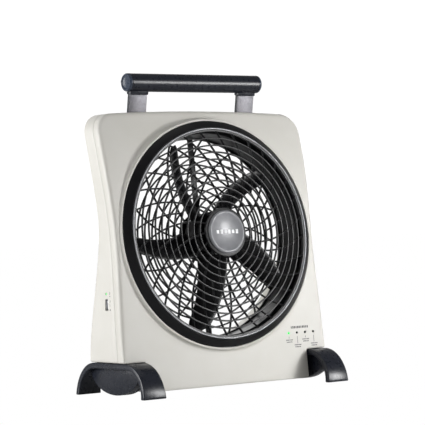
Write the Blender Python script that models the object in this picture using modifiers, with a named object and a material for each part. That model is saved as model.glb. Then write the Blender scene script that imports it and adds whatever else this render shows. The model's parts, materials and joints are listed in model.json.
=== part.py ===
"""Portable battery box fan: leaning housing, ring grilles, five-blade rotor and fold-down handle.

Metres, +Z up. X runs across the fan, -Y is the side the air leaves from. The origin is on the
floor, midway between the feet. The fan head is built in its own frame, FAN, whose local Z is
the rotor's axis and points out of the front grille.
"""
import math

import bmesh
import bpy
from mathutils import Matrix, Vector

# ----------------------------------------------------------------- clearances and walls
GAP = 0.0003             # between pieces that touch
RUN = 0.0006             # around pieces that move
WALL = 0.0025            # housing wall
EPS = 0.00001            # merge distance of turned shapes
SINK = 0.0010            # how far joined shapes reach into each other
FAR = 0.25               # cutters run this far past what they cut
NEAR = 0.02              # reach of a short cutter on each side of its wall

# ----------------------------------------------------------------- housing
BODY_HALF_W = 0.1556     # half width at the top and at the bottom
WAIST_IN = 0.0036        # how far each side draws in at the waist
WAIST_Z = 0.182
WAIST_SPAN = 0.128       # height over which the waist fades out, up and down
BODY_BOTTOM = 0.0050
BODY_TOP = 0.3495
TOP_CROWN = 0.0030       # drop of the top edge at the corners
CORNER_R = 0.026         # top corners
FACE_Y = -0.0205         # front face at the bend
BEND_Z = 0.190           # below it the face is straight, above it curls back
FACE_SLOPE = 0.088       # lean of the straight part, run over rise
FACE_CURL = 1.40         # curvature above the bend, 1/m
DEPTH_TOP = 0.036        # housing depth over the upper half
REAR_BASE_Y = 0.0435     # rear face beside the battery bay
RAMP_Z = 0.068           # where the rear face starts to ramp forward
RAMP_SLOPE = 0.194
RAMP_BLEND = 0.006       # softening of the ramp's upper corner
BASE_BLEND = 0.004       # softening of its lower corner
SEAM_DEPTH = 0.0135      # front shell's depth at its sides
SEAM_STEPS = 24
PROFILE_STEPS = 11
CORNER_STEPS = 5
CROWN_STEPS = 3
ROUND = 56               # sides of the large circles

# ----------------------------------------------------------------- fan head
FAN_TILT = math.radians(6.2)
FAN_Y = -0.0226
FAN_Z = 0.1940
RING_R = 0.1425          # outside of the black bezel
BEZEL_W = 0.0089         # from its outside to the front grille's seat
BEZEL_INNER_R = RING_R - BEZEL_W
BEZEL_FRONT = 0.0070
BEZEL_EDGE = 0.0004      # height of its outer edge over the collar's crest
BEZEL_BACK = -0.0030
BEZEL_LIP = 0.0020       # ledge that the front grille sits on
COLLAR_CREST = 0.0030    # width of the collar's crest round the bezel
COLLAR_SPREAD = 0.0033   # how much wider the collar gets at its foot
COLLAR_R = RING_R + COLLAR_CREST
COLLAR_FOOT_R = COLLAR_R + COLLAR_SPREAD
COLLAR_DEPTH = 0.0160
COLLAR_SKIRT = 0.0200
RIM_CLEARANCE = 0.0005   # between the front grille and the bezel
RIM_R = BEZEL_INNER_R - RIM_CLEARANCE
RIM_W = 0.0046
GRILLE_HUB_R = 0.0290
GRILLE_T = 0.0030
FRONT_DOME = 0.0085      # rise of the front grille from rim to middle
FRONT_RINGS = 6
FRONT_RIBS = 24
FRONT_SWEEP = math.radians(32)
REAR_RINGS = 3
REAR_RIBS = 24
REAR_SWEEP = math.radians(-32)
RIB_W = 0.0020
BADGE_R = 0.0270
BADGE_T = 0.0027
BADGE_EDGE = 0.0020      # width of its sloping edge
DUCT_INSET = 0.0150      # from the bezel's outside to the inside of the air duct
DUCT_R = RING_R - DUCT_INSET
DUCT_WALL = 0.0022
DUCT_LENGTH = 0.0370
REAR_GRILLE_BACK = -0.0440
STRUT_W = 0.0080          # upright bars behind the ribs of the rear grille
STRUT_SUNK = 0.0004
TUNNEL_MARGIN = 0.0013   # between the duct and the tunnel through the rear housing
TUNNEL_R = DUCT_R + DUCT_WALL + TUNNEL_MARGIN
TUNNEL_FRONT = -0.0340
TUNNEL_BACK = -0.0850    # past the rear face, which trims it
BLADES = 5
TIP_CLEARANCE = 0.0055   # between the blades and the duct
BLADE_TIP_R = DUCT_R - TIP_CLEARANCE
BLADE_CHORD_ROOT = 0.0400
BLADE_CHORD_TIP = 0.0270
BLADE_T = 0.0020
BLADE_CAMBER = 0.0028
BLADE_PITCH_ROOT = math.radians(36)
BLADE_PITCH_TIP = math.radians(28)
BLADE_SWEEP = math.radians(-20)
BLADE_PHASE = math.radians(58)
BLADE_Z = -0.0215
HUB_R = 0.0290
HUB_WALL = 0.0020
HUB_FRONT = -0.0085
HUB_BACK = -0.0330
HUB_ROUND = 0.0040       # its front edge
HUB_BOSS_R = 0.0050      # boss that grips the shaft
HUB_BOSS_L = 0.0025

# ----------------------------------------------------------------- motor
MOTOR_R = 0.0140
MOTOR_WALL = 0.0010
MOTOR_FRONT = -0.0140
MOTOR_BACK = -0.0370
SHAFT_R = 0.0015
BUSH_R = 0.0032
BUSH_L = 0.0040
ARMATURE_R = 0.0085
ARMATURE_L = 0.0120
MAGNET_T = 0.0026
MAGNET_EDGE = 0.0040     # each magnet starts this far from the middle plane
MAGNET_HALF_L = 0.0060
END_CAP_T = 0.0021
BUSH_PROUD = 0.0010      # how far each bush stands out of its wall
MOUNT_R = 0.0240
MOUNT_FLANGE = 0.0020
MOUNT_WALL = 0.0018
MOUNT_GRIP = 0.0080      # length of the can that the mount holds
MOTOR_SCREW_R = 0.0195   # radius of the circle the motor screws stand on

# ----------------------------------------------------------------- feet
FOOT_HALF_L = 0.0760
FOOT_CROWN_HALF = 0.0360
FOOT_H = 0.0410
FOOT_WALL = 0.0070
FOOT_W = 0.0290
FOOT_FLARE = 0.070       # widening at the floor, as a share of the width
FOOT_OUT = 0.0003        # how far its outer end stands in from the housing side
WEB_T = 0.0130
WEB_HALF_L = 0.0500
WEB_DEPTH = 0.0300
WEB_SPREAD = 0.86        # share of its length where it meets the arch
FOOT_SCREW_Y = (0.0020, 0.0270)
FOOT_SCREW_BITE = 0.0100 # length of the screw above the foot
FOOT_SEAT_T = 0.0110     # depth of the screw seats below the foot's top
FOOT_BOSS_L = 0.0160
ARCH_STEPS = 7

# ----------------------------------------------------------------- handle
PIVOT_DROP = 0.0165      # pivot below the housing's top
PIVOT_Z = BODY_TOP - PIVOT_DROP
HANDLE_LEAN = math.radians(10)
STRAP_SETBACK = 0.0168   # strap's middle behind the front face, at the housing's top
STRAP_INSET = 0.00195    # strap's outer edge to the grip's end
STRAP_W = 0.0265
STRAP_T = 0.0045
STRAP_HOOK = 0.0040      # strap's end past the grip's middle
GRIP_REACH = 0.0533      # pivot to the grip's middle
GRIP_R = 0.0115
GRIP_WALL = 0.0025
GRIP_HALF_L = 0.0985
GRIP_CAP = 0.0034
GRIP_CAP_TAPER = 0.0015
CAP_PLUG = 0.0013
STRAP_X = GRIP_HALF_L - STRAP_INSET - STRAP_W / 2
NECK_T = 0.0090
NECK_MARGIN = 0.0010     # how far the neck stands out beside the strap
NECK_DROP = 0.0150
KNUCKLE_R = 0.0040
PIVOT_PIN_R = 0.0015
LUG_W = 0.0040
LUG_HALF_H = 0.0080
SLOT_DEPTH = 0.0385      # slots that the straps swing in, below the housing's top

# ----------------------------------------------------------------- battery bay
CELL_R = 0.0166
CELL_L = 0.0598
CELL_NUB = 0.0014
CELL_NUB_R = 0.0045
CELLS_PER_ROW = 3
CELL_GAP = 0.0005        # between the two rows
TRAY_WALL = 0.0015
CONTACT_ROOM = 0.00525   # from a row's end to the outside of the tray
TRAY_MID_Y = 0.0040
TRAY_RISE = 0.0220
ROW_SHIFT = 0.0026       # each row lies this far towards its nub end
PLATE_T = 0.0005
PLATE_LOW = 0.0120       # contact plate below and above the cells' axis
PLATE_HIGH = 0.0030
SPRING_TURNS = 3
SPRING_POINTS = 10       # points in each turn
SPRING_TAPER = 0.45
SPRING_R = 0.0060
SPRING_WIRE = 0.0005
DOOR_HALF_W = 0.0940
DOOR_BOTTOM = 0.0105
DOOR_TOP = 0.0465
DOOR_GAP = 0.0005
DOOR_FRONT = 0.0300      # the door's opening is cut from here backwards
DOOR_AXIS_UP = 0.0024    # hinge line above the opening's lower edge
DOOR_AXIS_IN = 0.0012    # and in from the rear face
DOOR_PIN_R = 0.0005
DOOR_PIN_L = 0.0080

# ----------------------------------------------------------------- electrics
LED_R = 0.0015
LED_LEN = 0.0060
LED_INSET = 0.0179       # last light to the housing's side
LED_PITCH = 0.0133
LED_COUNT = 4
LED_DROP = 0.1308        # below the fan's axis, along the face
BOARD_MARGIN = 0.0060    # control board past the outer lights
BOARD_HALF_H = 0.0090
PORT_Y = 0.0025
USB_Z = 0.1122
USB_H = 0.0128
USB_T = 0.0056
USB_DEPTH = 0.0120
USB_SHEET = 0.0005
USB_PROUD = 0.0008       # how far the socket's mouth stands in from the side
USB_TONGUE_T = 0.0018
USB_BOARD_END = 0.0040
USB_BOARD_HALF_H = 0.0160
SIDE_LED_Z = 0.1255
SIDE_LED_Y = 0.0040
SWITCH_Z = 0.1180
SWITCH_H = 0.0210
SWITCH_T = 0.0130
SWITCH_DEPTH = 0.0140
ROCKER_H = 0.0170
ROCKER_T = 0.0085
ROCKER_WELL = 0.0060
ROCKER_AXIS_IN = 0.0024  # rocker's axis below the side face
ROCKER_TOP = 0.0027      # its face over the axis
ROCKER_RAISE = 0.0006    # its ends over its middle
ROCKER_UNDER = 0.0020
SIDE_SEAT = 0.0020       # switch and jack behind the inside of the wall
JACK_Z = 0.0860
JACK_SIZE = 0.0100
JACK_DEPTH = 0.0120
JACK_BORE_R = 0.0031
JACK_PIN_R = 0.0010
BOARD_T = 0.0016

# ----------------------------------------------------------------- housing screws
SCREW_LOW = (BODY_HALF_W - 0.0296, 0.0870)     # distance from the middle, height
SCREW_HIGH = (BODY_HALF_W - 0.0176, BODY_TOP - 0.0225)
SCREW_R = 0.0016
SCREW_HEAD_R = 0.0034
SCREW_HEAD_L = 0.0026
SCREW_SUNK = 0.0012      # head below the rear face
SCREW_TIP = 0.0030       # tip to the inside of the front wall
BOSS_R = 0.0052
BOLT_SIDES = 12

FINISHES = {  # base colour, roughness, metallic
    "housing": ((0.60, 0.59, 0.55), 0.45, 0.0),
    "black": ((0.012, 0.012, 0.013), 0.35, 0.0),
    "slate": ((0.030, 0.034, 0.045), 0.38, 0.0),
    "badge": ((0.30, 0.31, 0.33), 0.40, 0.3),
    "strap": ((0.28, 0.27, 0.28), 0.42, 0.6),
    "steel": ((0.50, 0.50, 0.50), 0.30, 1.0),
    "brass": ((0.60, 0.45, 0.20), 0.35, 1.0),
    "zinc": ((0.42, 0.43, 0.44), 0.40, 1.0),
    "board": ((0.02, 0.12, 0.05), 0.50, 0.0),
    "lens_lit": ((0.15, 0.80, 0.20), 0.20, 0.0),
    "lens": ((0.10, 0.11, 0.10), 0.20, 0.0),
    "cell": ((0.06, 0.05, 0.04), 0.30, 0.4),
    "magnet": ((0.05, 0.05, 0.05), 0.60, 0.2),
}


# ================================================================= scene and tools
def start_scene():
    """Empty the file and make the two collections and the fan's frame."""
    for obj in list(bpy.data.objects):
        bpy.data.objects.remove(obj, do_unlink=True)
    parts = bpy.data.collections.new("box_fan")
    tools = bpy.data.collections.new("cutters")
    for collection in (parts, tools):
        bpy.context.scene.collection.children.link(collection)
    fan = bpy.data.objects.new("fan_axis", None)
    fan.location = (0, FAN_Y, FAN_Z)
    fan.rotation_euler = (math.pi / 2 - FAN_TILT, 0, 0)
    parts.objects.link(fan)
    return parts, tools, fan


PARTS, TOOLS, FAN = start_scene()


def add_mesh(name, bm, parent=None):
    """Put a bmesh into a new object of the tools collection, facing outwards."""
    if bm.calc_volume(signed=True) < 0:
        bmesh.ops.reverse_faces(bm, faces=bm.faces)
    mesh = bpy.data.meshes.new(name)
    bm.to_mesh(mesh)
    bm.free()
    obj = bpy.data.objects.new(name, mesh)
    TOOLS.objects.link(obj)
    obj.hide_render = True
    obj.display_type = "WIRE"
    obj.parent = parent
    return obj


def as_part(obj, name, finish, smooth=False):
    """Move a finished shape from the tools to the parts, and give it a material."""
    TOOLS.objects.unlink(obj)
    PARTS.objects.link(obj)
    obj.name = name
    obj.hide_render = False
    obj.display_type = "TEXTURED"
    colour, roughness, metallic = FINISHES[finish]
    material = bpy.data.materials.new(name + "_finish")
    material.use_nodes = True
    shader = material.node_tree.nodes["Principled BSDF"]
    shader.inputs["Base Color"].default_value = (*colour, 1.0)
    shader.inputs["Roughness"].default_value = roughness
    shader.inputs["Metallic"].default_value = metallic
    obj.data.materials.append(material)
    if smooth and obj.type == "MESH":
        obj.data.shade_smooth()
        obj.data.set_sharp_from_angle(angle=math.radians(35))
    return obj


def boolean(target, tool, operation):
    """Add a live Boolean of a tool object."""
    modifier = target.modifiers.new(operation.lower(), "BOOLEAN")
    modifier.operation = operation
    modifier.object = tool
    return target


def cut(target, *tools):
    for tool in tools:
        boolean(target, tool, "DIFFERENCE")
    return target


def join(target, *tools):
    for tool in tools:
        boolean(target, tool, "UNION")
    return target


def box(name, low, high, parent=None):
    """A block between two corners."""
    low, high = Vector(low), Vector(high)
    bm = bmesh.new()
    bmesh.ops.create_cube(bm, size=1.0)
    bmesh.ops.scale(bm, vec=high - low, verts=bm.verts)
    bmesh.ops.translate(bm, vec=(low + high) / 2, verts=bm.verts)
    return add_mesh(name, bm, parent)


def rod(name, start, end, radius, segments=20, end_radius=None, parent=None):
    """A round bar, or a cone when the end radius differs."""
    start, end = Vector(start), Vector(end)
    along = end - start
    bm = bmesh.new()
    bmesh.ops.create_cone(bm, cap_ends=True, segments=segments, radius1=radius,
                          radius2=radius if end_radius is None else end_radius,
                          depth=along.length)
    turn = Vector((0, 0, 1)).rotation_difference(along.normalized()).to_matrix().to_4x4()
    bm.transform(Matrix.Translation((start + end) / 2) @ turn)
    return add_mesh(name, bm, parent)


def prism(name, outline, axis, low, high, parent=None):
    """A flat outline pushed along X (outline in Y, Z) or along Y (outline in X, Z)."""
    bm = bmesh.new()
    if axis == "X":
        verts = [bm.verts.new((low, u, v)) for u, v in outline]
        push = Vector((high - low, 0, 0))
    else:
        verts = [bm.verts.new((u, low, v)) for u, v in outline]
        push = Vector((0, high - low, 0))
    face = bm.faces.new(verts)
    side = bmesh.ops.extrude_face_region(bm, geom=[face])
    moved = [item for item in side["geom"] if isinstance(item, bmesh.types.BMVert)]
    bmesh.ops.translate(bm, vec=push, verts=moved)
    bmesh.ops.recalc_face_normals(bm, faces=bm.faces)
    return add_mesh(name, bm, parent)


def turned(name, profile, segments=48, closed=True, parent=None):
    """A profile of (radius, height) points, top to bottom on its outer side, turned round Z."""
    bm = bmesh.new()
    verts = [bm.verts.new((radius, 0, height)) for radius, height in profile]
    for first, second in zip(verts, verts[1:]):
        bm.edges.new((first, second))
    if closed:
        bm.edges.new((verts[-1], verts[0]))
    obj = add_mesh(name, bm, parent)
    screw = obj.modifiers.new("turn", "SCREW")
    screw.axis = "Z"
    screw.angle = 2 * math.pi
    screw.steps = segments
    screw.render_steps = segments
    screw.use_merge_vertices = True
    screw.merge_threshold = EPS
    screw.use_smooth_shade = True
    return obj


def arc(centre, radii, start, end, steps):
    """Points of an ellipse arc, in degrees."""
    points = []
    for step in range(steps + 1):
        angle = math.radians(start + (end - start) * step / steps)
        points.append((centre[0] + radii[0] * math.cos(angle),
                       centre[1] + radii[1] * math.sin(angle)))
    return points


# ================================================================= housing
def front_y(z):
    """Front face of the housing at a height."""
    rise = z - BEND_Z
    curl = 0.5 * FACE_CURL * rise ** 2 if rise > 0 else 0.0
    return FACE_Y + FACE_SLOPE * rise + curl


def rear_y(z):
    """Rear face: upright beside the battery bay, then a ramp, then level with the front."""
    ramp = REAR_BASE_Y - RAMP_SLOPE * (z - RAMP_Z)
    low = (REAR_BASE_Y + ramp - math.hypot(REAR_BASE_Y - ramp, BASE_BLEND)) / 2
    high = front_y(z) + DEPTH_TOP
    return (low + high + math.hypot(low - high, RAMP_BLEND)) / 2


def half_width(z):
    share = min(abs(z - WAIST_Z) / WAIST_SPAN, 1.0)
    return BODY_HALF_W - WAIST_IN * (0.5 + 0.5 * math.cos(math.pi * share))


def side_levels(inset, top):
    """Heights that the housing's outlines are drawn through."""
    bottom = BODY_BOTTOM + inset
    return [bottom + (top - bottom) * step / PROFILE_STEPS for step in range(PROFILE_STEPS + 1)]


def front_outline(inset):
    """Housing seen from the front, drawn in by an inset."""
    radius = CORNER_R - inset
    corner_z = BODY_TOP - TOP_CROWN - CORNER_R
    right = [(half_width(z) - inset, z) for z in side_levels(inset, corner_z)]
    centre = (half_width(corner_z) - CORNER_R, corner_z)
    right += arc(centre, (radius, radius), 0, 90, CORNER_STEPS)[1:]
    for step in range(1, CROWN_STEPS + 1):
        share = step / CROWN_STEPS
        x = centre[0] * (1 - share)
        drop = TOP_CROWN * (1 - share) ** 2
        right.append((x, BODY_TOP - inset - drop))
    left = [(-x, z) for x, z in reversed(right[:-1])]
    return right + left


def side_outline(inset):
    levels = side_levels(inset, BODY_TOP - inset + SINK)
    front = [(front_y(z) + inset, z) for z in levels]
    rear = [(rear_y(z) - inset, z) for z in reversed(levels)]
    return front + rear


def notch_x():
    """Inner wall of the notch that each foot fills."""
    return BODY_HALF_W - FOOT_OUT - FOOT_W - GAP - SINK


def notch_roof():
    return FOOT_H + 2 * GAP


def body_solid(name, inset):
    """Housing's outer form, or its hollow when inset by the wall."""
    body = prism(name, front_outline(inset), "Y", -FAR, FAR)
    boolean(body, prism(name + "_side", side_outline(inset), "X", -FAR, FAR), "INTERSECT")
    for sign in (-1, 1):
        inner, outer = sign * (notch_x() - inset), sign * FAR
        low = (min(inner, outer), -FAR, -FAR)
        high = (max(inner, outer), FAR, notch_roof() + inset)
        cut(body, box(name + "_notch", low, high))
    return body


def seam_tool(name, side):
    """Everything in front of the seam, or everything behind it."""
    bottom, top = BODY_BOTTOM - NEAR, BODY_TOP + NEAR
    levels = [bottom + (top - bottom) * step / SEAM_STEPS for step in range(SEAM_STEPS + 1)]
    shift = SEAM_DEPTH - side * GAP / 2
    seam = [(front_y(z) + shift, z) for z in levels]
    far = FAR * side
    return prism(name, seam + [(far, levels[-1]), (far, levels[0])], "X", -FAR, FAR)


def screw_places():
    return [(sign * x, z) for sign in (-1, 1) for x, z in (SCREW_LOW, SCREW_HIGH)]


def led_places():
    """Centres of the four indicator lights, in the fan's frame."""
    first = BODY_HALF_W - LED_INSET - LED_PITCH * (LED_COUNT - 1)
    return [(first + LED_PITCH * index, -LED_DROP) for index in range(LED_COUNT)]


def fan_point(x, y, z):
    """A point of the fan's frame, in world coordinates."""
    turn = Matrix.Rotation(math.pi / 2 - FAN_TILT, 3, "X")
    return Vector((0, FAN_Y, FAN_Z)) + turn @ Vector((x, y, z))


def led_face_depth():
    """Local depth of the front face where the indicator lights stand."""
    point = fan_point(0, -LED_DROP, 0)
    return -(front_y(point.z) - point.y) * math.cos(FAN_TILT)


def make_front_housing():
    shell = body_solid("front_housing", 0.0)
    cut(shell, body_solid("front_hollow", WALL), seam_tool("front_seam", 1))
    collar = turned("collar", [(COLLAR_R, 0), (COLLAR_FOOT_R, -COLLAR_DEPTH),
                               (COLLAR_FOOT_R, -COLLAR_SKIRT), (RING_R - SINK, -COLLAR_SKIRT),
                               (RING_R - SINK, 0)], segments=ROUND, parent=FAN)
    join(shell, collar)
    for x, z in screw_places():
        start = (x, front_y(z) + WALL / 2, z)
        end = (x, front_y(z) + SEAM_DEPTH - GAP / 2, z)
        join(shell, rod("front_boss", start, end, BOSS_R, 16))
        hole_start = (x, front_y(z) + WALL + SCREW_TIP - SINK, z)
        cut(shell, rod("front_boss_hole", hole_start, (x, FAR, z), SCREW_R + GAP, 16))
    cut(shell, rod("ring_hole", fan_point(0, 0, -FAR), fan_point(0, 0, FAR),
                   RING_R + GAP, ROUND))
    for x, y in led_places():
        cut(shell, rod("led_hole", fan_point(x, y, -NEAR), fan_point(x, y, NEAR),
                       LED_R + GAP, 12))
    return as_part(shell, "front_housing", "housing")


def door_axis():
    """Middle of the battery door's hinge line."""
    z = DOOR_BOTTOM + DOOR_AXIS_UP
    return Vector((0, rear_y(z) - DOOR_AXIS_IN, z))


def make_rear_housing():
    shell = body_solid("rear_housing", 0.0)
    cut(shell, body_solid("rear_hollow", WALL), seam_tool("rear_seam", -1))
    wall = turned("tunnel", [(TUNNEL_R + WALL, TUNNEL_FRONT), (TUNNEL_R + WALL, TUNNEL_BACK),
                             (TUNNEL_R - SINK, TUNNEL_BACK), (TUNNEL_R - SINK, TUNNEL_FRONT)],
                  segments=ROUND, parent=FAN)
    boolean(wall, body_solid("tunnel_trim", WALL / 2), "INTERSECT")
    join(shell, wall)
    for x, z in screw_places():
        start = (x, front_y(z) + SEAM_DEPTH + GAP / 2, z)
        join(shell, rod("rear_boss", start, (x, rear_y(z) - WALL / 2, z), BOSS_R, 16))
        cut(shell, rod("rear_hole", (x, -FAR, z), (x, FAR, z), SCREW_R + GAP, 16))
        head_start = (x, rear_y(z) - SCREW_HEAD_L - SCREW_SUNK, z)
        cut(shell, rod("rear_head_hole", head_start, (x, FAR, z), SCREW_HEAD_R + GAP, 16))
    for sign in (-1, 1):
        for y in FOOT_SCREW_Y:
            x = sign * foot_middle()
            roof = notch_roof()
            join(shell, rod("foot_boss", (x, y, roof + WALL / 2), (x, y, roof + FOOT_BOSS_L),
                            BOSS_R, 16))
            cut(shell, rod("foot_boss_hole", (x, y, -FAR), (x, y, roof + FOOT_BOSS_L - 2 * SINK),
                           SCREW_R + GAP, 16))
    cut(shell, rod("tunnel_bore", fan_point(0, 0, -FAR), fan_point(0, 0, FAR),
                   TUNNEL_R, ROUND))
    add_handle_slots(shell)
    cut(shell, box("door_opening", (-DOOR_HALF_W, DOOR_FRONT, DOOR_BOTTOM),
                   (DOOR_HALF_W, FAR, DOOR_TOP)))
    axis = door_axis()
    reach = DOOR_HALF_W + DOOR_PIN_L / 2 + GAP
    cut(shell, rod("door_pin_hole", axis - Vector((reach, 0, 0)), axis + Vector((reach, 0, 0)),
                   DOOR_PIN_R + GAP, 10))
    cut(shell, *port_cuts())
    return as_part(shell, "rear_housing", "housing")


def port_cuts():
    """Holes in the rear housing's sides for the socket, light, switch and power jack."""
    start = BODY_HALF_W - NEAR
    half_z, half_y = USB_H / 2 + 2 * GAP, USB_T / 2 + 2 * GAP
    yield box("usb_hole", (-FAR, PORT_Y - half_y, USB_Z - half_z),
              (-start, PORT_Y + half_y, USB_Z + half_z))
    yield rod("side_led_hole", (-FAR, SIDE_LED_Y, SIDE_LED_Z), (-start, SIDE_LED_Y, SIDE_LED_Z),
              LED_R + GAP, 12)
    half_z, half_y = ROCKER_H / 2 + RUN, ROCKER_T / 2 + RUN
    yield box("rocker_hole", (start, PORT_Y - half_y, SWITCH_Z - half_z),
              (FAR, PORT_Y + half_y, SWITCH_Z + half_z))
    yield rod("jack_hole", (start, PORT_Y, JACK_Z), (FAR, PORT_Y, JACK_Z),
              JACK_BORE_R + RUN, 20)


def pivot_point():
    """Middle of the handle's pivot line."""
    y = front_y(BODY_TOP) + STRAP_SETBACK + PIVOT_DROP * math.tan(HANDLE_LEAN)
    return Vector((0, y, PIVOT_Z))


def add_handle_slots(shell):
    """Lugs that hold the pivot pins, and the slots that the straps swing in."""
    pivot = pivot_point()
    half = STRAP_W / 2 + RUN
    for sign in (-1, 1):
        for side in (-1, 1):
            near = sign * STRAP_X + side * (half - SINK)
            far = near + side * (LUG_W + SINK)
            join(shell, box("lug", (min(near, far), pivot.y - KNUCKLE_R - GAP,
                                    PIVOT_Z - LUG_HALF_H),
                            (max(near, far), rear_y(PIVOT_Z) - WALL / 2,
                             PIVOT_Z + LUG_HALF_H)))
        cut(shell, box("slot", (sign * STRAP_X - half, -FAR, BODY_TOP - SLOT_DEPTH),
                       (sign * STRAP_X + half, FAR, BODY_TOP + FAR)))
        reach = half + LUG_W - SINK
        middle = pivot + Vector((sign * STRAP_X, 0, 0))
        cut(shell, rod("pivot_hole", middle - Vector((reach, 0, 0)),
                       middle + Vector((reach, 0, 0)), PIVOT_PIN_R + GAP, 14))


def make_screw(name, seat, end, finish="zinc"):
    """A pan-head screw: the head's underside is at the seat, the tip at the end."""
    seat, end = Vector(seat), Vector(end)
    back = (seat - end).normalized() * SCREW_HEAD_L
    screw = rod(name, seat, end, SCREW_R, BOLT_SIDES)
    join(screw, rod("screw_head", seat - back * 0.02, seat + back, SCREW_HEAD_R, 14,
                    end_radius=SCREW_HEAD_R * 0.8))
    return as_part(screw, name, finish, smooth=True)


def make_housing_screws():
    for index, (x, z) in enumerate(screw_places(), start=1):
        seat = (x, rear_y(z) - SCREW_HEAD_L - SCREW_SUNK + GAP, z)
        make_screw(f"housing_screw_{index}", seat, (x, front_y(z) + WALL + SCREW_TIP, z))


# ================================================================= fan head
def make_front_bezel():
    ledge = BEZEL_FRONT - GRILLE_T - 2.5 * GAP
    lip_r = BEZEL_INNER_R - BEZEL_LIP
    profile = [(BEZEL_INNER_R + RUN, BEZEL_FRONT), (RING_R, BEZEL_EDGE), (RING_R, BEZEL_BACK),
               (lip_r, BEZEL_BACK), (lip_r, ledge), (BEZEL_INNER_R, ledge),
               (BEZEL_INNER_R, BEZEL_FRONT)]
    bezel = turned("front_bezel", profile, segments=ROUND, parent=FAN)
    return as_part(bezel, "front_bezel", "black")


def make_grille(name, rings, ribs, sweep, rim_r, base, dome):
    """A lattice of rings and spiral ribs, with a closed hub disc and a closed rim."""
    bm = bmesh.new()
    radii = [GRILLE_HUB_R + RIB_W]
    span = rim_r - RIM_W + RIB_W / 2 - radii[0]
    radii += [radii[0] + span * ring / rings for ring in range(1, rings + 1)] + [rim_r]
    spine = []
    for radius in radii:
        angle = sweep * (radius - radii[0]) / (rim_r - radii[0])
        spine.append(bm.verts.new((radius * math.cos(angle), radius * math.sin(angle), 0)))
    edges = [bm.edges.new(pair) for pair in zip(spine, spine[1:])]
    bmesh.ops.spin(bm, geom=spine + edges, cent=(0, 0, 0), axis=(0, 0, 1),
                   angle=2 * math.pi, steps=ribs, use_merge=True)
    bmesh.ops.remove_doubles(bm, verts=bm.verts, dist=EPS)
    limit = radii[-2] - EPS
    cells = [face for face in bm.faces if min(v.co.length for v in face.verts) < limit]
    bmesh.ops.inset_individual(bm, faces=cells, thickness=RIB_W / 2, use_even_offset=True)
    bmesh.ops.delete(bm, geom=cells, context="FACES")
    inner = [edge for edge in bm.edges if edge.is_boundary
             and max(v.co.length for v in edge.verts) < radii[0] + EPS]
    bmesh.ops.edgeloop_fill(bm, edges=inner)
    for vert in bm.verts:
        share = min(vert.co.length / rim_r, 1.0)
        vert.co.z = base + dome * (1 - share ** 2)
    bmesh.ops.recalc_face_normals(bm, faces=bm.faces)
    if sum(face.normal.z for face in bm.faces) < 0:
        bmesh.ops.reverse_faces(bm, faces=bm.faces)
    mesh = bpy.data.meshes.new(name)
    bm.to_mesh(mesh)
    bm.free()
    grille = bpy.data.objects.new(name, mesh)
    TOOLS.objects.link(grille)
    grille.parent = FAN
    thick = grille.modifiers.new("thickness", "SOLIDIFY")
    thick.thickness = GRILLE_T
    thick.offset = -1
    return as_part(grille, name, "black")


def make_badge():
    face = grille_middle() + GAP
    profile = [(0, face + BADGE_T), (BADGE_R - BADGE_EDGE, face + BADGE_T - 0.1 * BADGE_EDGE),
               (BADGE_R, face + BADGE_T - 0.8 * BADGE_EDGE), (BADGE_R, face), (0, face)]
    badge = turned("hub_badge", profile, segments=40, closed=False, parent=FAN)
    return as_part(badge, "hub_badge", "badge")


def grille_middle():
    """Front of the front grille's hub disc, whose middle is the top of the dome."""
    return BEZEL_FRONT + FRONT_DOME


def make_duct():
    front = BEZEL_BACK - GAP
    outer = DUCT_R + DUCT_WALL
    flange_r = RING_R - RUN
    profile = [(flange_r, front), (flange_r, front - DUCT_WALL),
               (outer, front - DUCT_WALL), (outer, front - DUCT_LENGTH),
               (DUCT_R, front - DUCT_LENGTH), (DUCT_R, front)]
    duct = turned("duct_ring", profile, segments=ROUND, parent=FAN)
    return as_part(duct, "duct_ring", "black")


def blade_mesh(index):
    """One cambered, twisted blade that starts inside the hub wall."""
    bm = bmesh.new()
    bmesh.ops.create_grid(bm, x_segments=6, y_segments=4, size=0.5)
    root, tip = HUB_R - HUB_WALL * 0.6, BLADE_TIP_R
    turn = 2 * math.pi * index / BLADES + BLADE_PHASE
    for vert in bm.verts:
        along, across = vert.co.x + 0.5, vert.co.y * 2
        radius = root + (tip - root) * along
        chord = BLADE_CHORD_ROOT + (BLADE_CHORD_TIP - BLADE_CHORD_ROOT) * along
        if along > 0.99:
            chord *= 0.72
        pitch = BLADE_PITCH_ROOT + (BLADE_PITCH_TIP - BLADE_PITCH_ROOT) * along
        offset = across * chord / 2
        angle = turn + BLADE_SWEEP * along + offset * math.cos(pitch) / radius
        camber = BLADE_CAMBER * (1 - across ** 2)
        vert.co = (radius * math.cos(angle), radius * math.sin(angle),
                   BLADE_Z + offset * math.sin(pitch) + camber)
    bmesh.ops.solidify(bm, geom=bm.faces[:], thickness=BLADE_T)
    bmesh.ops.recalc_face_normals(bm, faces=bm.faces)
    return add_mesh("blade_form", bm, FAN)


def make_rotor():
    """Five blades on a cup-shaped hub that covers the motor."""
    under, boss_end = HUB_FRONT - HUB_WALL, HUB_FRONT - HUB_WALL - HUB_BOSS_L
    hub = turned("fan_blade", [(SHAFT_R + GAP, HUB_FRONT), (HUB_R - HUB_ROUND, HUB_FRONT),
                               (HUB_R, HUB_FRONT - HUB_ROUND), (HUB_R, HUB_BACK),
                               (HUB_R - HUB_WALL, HUB_BACK),
                               (HUB_R - HUB_WALL, under - HUB_WALL),
                               (HUB_BOSS_R, under), (HUB_BOSS_R, boss_end),
                               (SHAFT_R + GAP, boss_end)],
                 segments=40, parent=FAN)
    join(hub, *[blade_mesh(index) for index in range(BLADES)])
    return as_part(hub, "fan_blade", "black")


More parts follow.
